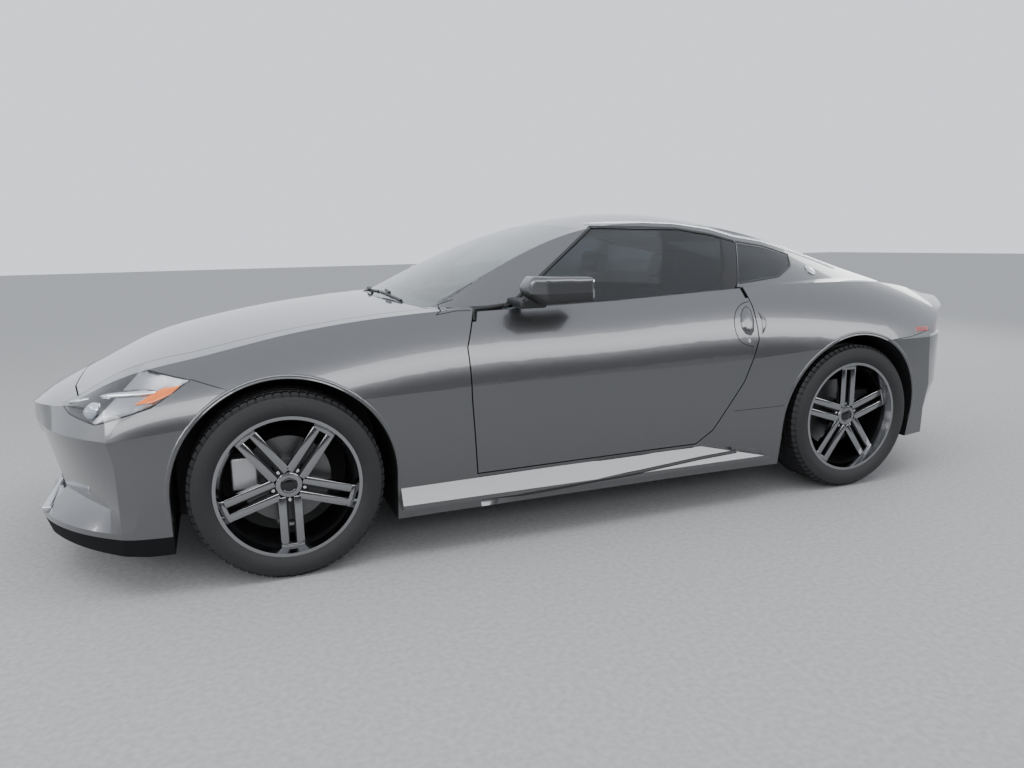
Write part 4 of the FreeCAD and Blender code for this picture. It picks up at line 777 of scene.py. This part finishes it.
# Painted shade: below this edge the cap is black, for its foot and the shade under it.
under_cap_foot_and_shade = past_level(shaded_mirror_paint, "Z", MIRROR_PAINT_EDGE, above=False)
second_finish(shaded_mirror_paint, under_cap_foot_and_shade, (0.012, 0.012, 0.013), metallic=0.0, roughness=0.4)
mirror_silver = new_finish("mirror_silver", (0.75, 0.76, 0.77), (0.8, 0.81, 0.82),
                           roughness=0.02, grain=0.2, relief=0.00001, metallic=1.0)
for side_name, side in LEFT_AND_RIGHT:
    cap = copy_of(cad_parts[f"mirror_{side_name}"], f"mirror_cap_{side_name}")
    soften(cap, voxel=0.005, factor=0.6, rounds=32)
    settle(cap, shaded_mirror_paint, f"{side_name}_door", angle=60)
    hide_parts(f"mirror_{side_name}")
    glass = block(f"mirror_glass_{side_name}", (0.003, 0.104, 0.068), (-0.1285, side * 0.937, 0.997),
                  (0, 0, side * radians(8.6)))
    edit_all()
    bpy.ops.mesh.bevel(offset=0.0012, segments=2, affect="EDGES")
    bpy.ops.object.mode_set(mode="OBJECT")
    settle(glass, mirror_silver, f"{side_name}_door")


# Door handles: an upright grip set flush in the rear of each door, with a fine joint line round it and a
# small lock barrel below it. Past the door's edge its hollow runs out in a crescent lip on the body.
HANDLE_JOINT = [(0.695, 0.901), (0.664, 0.896), (0.636, 0.882), (0.615, 0.862), (0.601, 0.835),
                (0.596, 0.81), (0.597, 0.78), (0.606, 0.752), (0.625, 0.731), (0.652, 0.719), (0.68, 0.712)]
lay_strip("handle_joint", HANDLE_JOINT, joint_black, "SIDE_door", ["door_SIDE"],
          radius=0.0024, sunk=0.0013)
GRIP = [(0.678, 0.884), (0.653, 0.87), (0.637, 0.846), (0.63, 0.818), (0.632, 0.79), (0.647, 0.768),
        (0.672, 0.76), (0.69, 0.78), (0.698, 0.82), (0.694, 0.86)]
lay_plate("handle_grip", GRIP, grey_paint, "SIDE_door", ["door_SIDE"],
          sunk=0.001, rise=0.009, depth=0.004)
lay_strip("handle_grip_joint", GRIP, joint_black, "SIDE_door", ["door_SIDE"],
          radius=0.002, sunk=0.001, closed=True)
LIP = [(0.728, 0.868), (0.748, 0.85), (0.764, 0.826), (0.76, 0.796), (0.744, 0.77), (0.73, 0.758),
       (0.736, 0.79), (0.738, 0.83)]
lay_plate("handle_lip", LIP, grey_paint, "body", ["body_shell"],
          sunk=0.001, rise=0.005, depth=0.004)
LOCK_X, LOCK_Z, LOCK_RADIUS, LOCK_DEPTH = 0.66, 0.738, 0.007, 0.006
LOCK_RINGS = [(0.0015, 0.0005), (0.0015, -0.001)]
for side_name, side in LEFT_AND_RIGHT:
    lock_place = side_surface(LOCK_X, LOCK_Z, side, [f"door_{side_name}"])
    lock = disc(f"lock_barrel_{side_name}", LOCK_RADIUS, LOCK_DEPTH, lock_place, ACROSS, vertices=32)
    inset_faces(lock, lambda centre, normal: normal.y * side > 0.9, LOCK_RINGS)
    settle(lock, trim_silver, f"{side_name}_door")


# Pillar bosses: a plain round boss of satin silver plastic, with a ring round it.
# One is bonded to each rear pillar.
BOSS_X, BOSS_Z = 1.203, 1.017
PILLAR_BOSS_RADIUS, PILLAR_BOSS_DEPTH = 0.03, 0.008
PILLAR_BOSS_RINGS = [(0.002, 0.001), (0.005, -0.0015), (0.002, 0.001)]
for side_name, side in LEFT_AND_RIGHT:
    beside = Vector((BOSS_X, side * 1.3, BOSS_Z))
    _, boss_place, outward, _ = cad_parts["body_shell"].ray_cast(beside, Vector((0, -side, 0)))
    boss = disc(f"pillar_boss_{side_name}", PILLAR_BOSS_RADIUS, PILLAR_BOSS_DEPTH, boss_place,
                outward.to_track_quat("Z", "Y").to_euler())
    inset_faces(boss, lambda centre, normal: normal.dot(outward) > 0.9, PILLAR_BOSS_RINGS)
    settle(boss, trim_silver, "body")


# Wipers: two black steel arms with rubber blades.
# They are parked at the foot of the windscreen and lie on it.
def screen_point(x, y, lift):
    """The place this far above the windscreen at this x and y."""
    hit, point, _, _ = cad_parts["windscreen"].ray_cast(Vector((x, y, 1.6)), Vector((0, 0, -1)))
    return point + Vector((0, 0, lift)) if hit else None


BLADES = {
    "driver": [(-0.735, -0.55), (-0.745, -0.4), (-0.752, -0.2), (-0.752, 0.0)],
    "passenger": [(-0.752, 0.05), (-0.748, 0.25), (-0.735, 0.42), (-0.718, 0.56)],
}
ARMS = {
    "driver": [(-0.765, -0.30), (-0.752, -0.2), (-0.748, -0.1)],
    "passenger": [(-0.765, 0.22), (-0.745, 0.3), (-0.738, 0.4)],
}
for kind, routes, finish, radius, lift in (("blade", BLADES, seal_rubber, 0.005, 0.006),
                                           ("arm", ARMS, black_plastic, 0.007, 0.016)):
    for name, route in routes.items():
        places = [screen_point(x, y, lift) for x, y in route]
        tube(f"{name}_wiper_{kind}", [place for place in places if place],
             finish, "body", radius)


# Cabin: a grained soft-touch dashboard with the console in one moulding, two round dial hoods on it, and
# a leather-bound steering wheel.
soft_black = new_finish("soft_touch_black", (0.016, 0.016, 0.017), (0.028, 0.028, 0.03),
                        roughness=0.58, grain=0.0018, relief=0.0003)
dress(soft_black, "dashboard")
wheel_leather = new_finish("wheel_leather", (0.014, 0.014, 0.015), (0.024, 0.024, 0.026),
                           roughness=0.42, grain=0.0022, relief=0.0004)
dress(wheel_leather, "steering_wheel")
DIAL_PLACES = ((-0.49, -0.455, 0.905), (-0.49, -0.315, 0.905))
DIAL_RADIUS, DIAL_DEPTH, DIAL_LEAN = 0.052, 0.05, radians(68)
for number, dial_place in enumerate(DIAL_PLACES, start=1):
    dial = disc(f"dial_hood_{number}", DIAL_RADIUS, DIAL_DEPTH, dial_place, (0, DIAL_LEAN, 0))
    inset_faces(dial, lambda centre, normal: normal.x > 0.8, [(0.004, 0.0), (0.003, -0.018)])
    settle(dial, soft_black, "body")


# Seats: foam under black grained leather, drawn in along sewn channels, on a base bolted to the floor.
# The middle lies lower than the side bolsters.
SEAT_MIDDLE = 0.385
FOAM_RISE = 0.012
BOLSTER_START = 0.135
CHANNEL_DEPTH = 0.006
CHANNEL_HALF = 0.008
FOAM_STEP = 0.012
CLOTH_FRAMES = 16
seat_leather = new_finish("grained_seat_leather", (0.016, 0.016, 0.017), (0.03, 0.03, 0.032),
                          roughness=0.45, grain=0.0025, relief=0.0005)
adjust(seat_leather, {"Sheen Weight": 0.15})


def foam_piece(name, place, size, lean, channels, hollow):
    """A foam block, blown up as cloth and drawn in along its channels, which run along it or across it."""
    foam = block(f"{name}_left", size)
    round_edges(foam, width=min(size) * 0.3, segments=4)
    modify(foam, "REMESH", mode="VOXEL", voxel_size=FOAM_STEP)
    before = [vertex.co.copy() for vertex in foam.data.vertices]
    cloth = foam.modifiers.new("leather", "CLOTH")
    cloth.settings.use_pressure = True
    cloth.settings.uniform_pressure_force = 4
    cloth.settings.effector_weights.gravity = 0
    cloth.point_cache.frame_start = 1
    cloth.point_cache.frame_end = CLOTH_FRAMES
    for step in range(1, CLOTH_FRAMES + 1):
        bpy.context.scene.frame_set(step)
    bpy.ops.object.modifier_apply(modifier="leather")
    bpy.context.scene.frame_set(1)
    for vertex, start in zip(foam.data.vertices, before):
        moved = vertex.co - start
        if moved.length > FOAM_RISE:
            vertex.co = start + moved.normalized() * FOAM_RISE
    for vertex in foam.data.vertices:
        x, y, z = vertex.co
        drawn = 0.0
        for along_y, at in channels:
            distance = abs((x if along_y else y) - at)
            drawn = max(drawn, 1 - distance / CHANNEL_HALF)
        if hollow and abs(y) < BOLSTER_START and z > 0:
            vertex.co.z -= hollow * cos(abs(y) / BOLSTER_START * pi / 2)
        if drawn > 0:
            vertex.co -= vertex.normal * CHANNEL_DEPTH * drawn
    modify(foam, "SUBSURF", levels=1, render_levels=1)
    foam.rotation_euler = (0, lean, 0)
    foam.location = place
    settle(foam, seat_leather, "body", angle=60)
    twin = mirrored(foam, f"{name}_right", seat_leather, "body")
    for piece, side_name in ((foam, "left"), (twin, "right")):
        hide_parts(f"seat_{side_name}")


SIDE_CHANNELS = [(False, -BOLSTER_START), (False, BOLSTER_START)]
foam_piece("seat_cushion", place=(0.1, -SEAT_MIDDLE, 0.333), size=(0.43, 0.42, 0.1), lean=0.04,
           channels=SIDE_CHANNELS + [(True, -0.06), (True, 0.06)], hollow=0.016)
foam_piece("seat_back", place=(0.488, -SEAT_MIDDLE, 0.672), size=(0.56, 0.41, 0.1), lean=radians(-75),
           channels=SIDE_CHANNELS + [(True, -0.1), (True, 0.02), (True, 0.14)], hollow=0.014)
foam_piece("headrest", place=(0.566, -SEAT_MIDDLE, 1.052), size=(0.12, 0.235, 0.075), lean=radians(-80),
           channels=[(True, 0.0)], hollow=0.0)
for side_name, side in LEFT_AND_RIGHT:
    base = block(f"seat_base_{side_name}", (0.5, 0.4, 0.088), (0.17, side * SEAT_MIDDLE, 0.237))
    inset_faces(base, lambda centre, normal: normal.z > 0.9, [(0.02, 0.0), (0.01, -0.01)])
    round_edges(base, width=0.008, segments=3)
    settle(base, black_plastic, "body")


# Camera at the photograph's viewing angle: a wide lens held at chest height, near the front left wheel.
# Turned to the right, tipped down and rolled a little, all in radians.
CAMERA_PLACE = (-1.459, -3.578, 1.179)
CAMERA_TURN = -0.363
CAMERA_TILT = -0.1855
CAMERA_ROLL = -0.0187
LENS_MM = 26.72
camera_data = bpy.data.cameras.new("camera")
camera_data.lens = LENS_MM
camera_data.sensor_width = 36.0
camera_data.clip_start = 0.05
camera = bpy.data.objects.new("camera", camera_data)
bpy.context.scene.collection.objects.link(camera)
aim = (Matrix.Rotation(CAMERA_TURN, 4, "Z") @ Matrix.Rotation(pi / 2 + CAMERA_TILT, 4, "X")
       @ Matrix.Rotation(CAMERA_ROLL, 4, "Z"))
camera.matrix_world = Matrix.Translation(CAMERA_PLACE) @ aim
bpy.context.scene.camera = camera


# Pale floor and soft light: a panel overhead, at the left, in front and behind, under a pale sky.
# The shoulder panel stands behind the dark card and over it. It is only mirrored, in the paint's upper half.
bpy.ops.object.select_all(action="DESELECT")
bpy.ops.mesh.primitive_plane_add(size=80, location=(0, 0, 0))
floor = bpy.context.active_object
floor.name = "floor"
floor_pale = new_finish("floor_pale", (0.29, 0.29, 0.285), (0.36, 0.36, 0.355),
                        roughness=0.85, grain=0.02, relief=0.0006)
floor.data.materials.append(floor_pale)
# A dark card behind the camera, which the car's side mirrors below its shoulder line.
bpy.ops.object.select_all(action="DESELECT")
bpy.ops.mesh.primitive_plane_add(size=1, location=(-1, -13, 1.9), rotation=(pi / 2, 0, 0))
card = bpy.context.active_object
card.name = "dark_card"
card.scale = (44, 3.8, 1)
card_dark = new_finish("card_dark", (0.05, 0.05, 0.048), (0.08, 0.08, 0.077),
                       roughness=0.9, grain=0.3, relief=0.001)
card.data.materials.append(card_dark)
card.visible_camera = False
card.visible_diffuse = False
PANELS = {
    "overhead": ((-0.6, -1.5, 5.2), (0.35, 0, 0), (7.5, 2.4), 200),
    "left_side": ((-2.5, -7.0, 3.4), (1.2, 0, -0.25), (8.0, 1.8), 120),
    "front": ((-7.0, -1.5, 2.6), (1.25, 0, -1.45), (4.0, 1.6), 120),
    "tail": ((6.5, 2.5, 3.2), (1.1, 0, 1.3), (4.0, 2.0), 110),
    "shoulder": ((-1.0, -13.2, 6.6), (1.3, 0, 0), (44.0, 5.0), 2500),
}
for name, (place, turn, size, power) in PANELS.items():
    panel = bpy.data.lights.new(f"{name}_panel", "AREA")
    panel.shape = "RECTANGLE"
    panel.size, panel.size_y = size
    panel.energy = power
    holder = bpy.data.objects.new(f"{name}_panel", panel)
    holder.location = place
    holder.rotation_euler = turn
    holder.visible_glossy = name in ("front", "tail", "shoulder")
    holder.visible_diffuse = name != "shoulder"
    holder.visible_camera = False
    bpy.context.scene.collection.objects.link(holder)
world = bpy.data.worlds.new("studio")
bpy.context.scene.world = world
world.use_nodes = True
world.node_tree.nodes["Background"].inputs["Color"].default_value = (0.85, 0.89, 0.96, 1)
world.node_tree.nodes["Background"].inputs["Strength"].default_value = 1.35
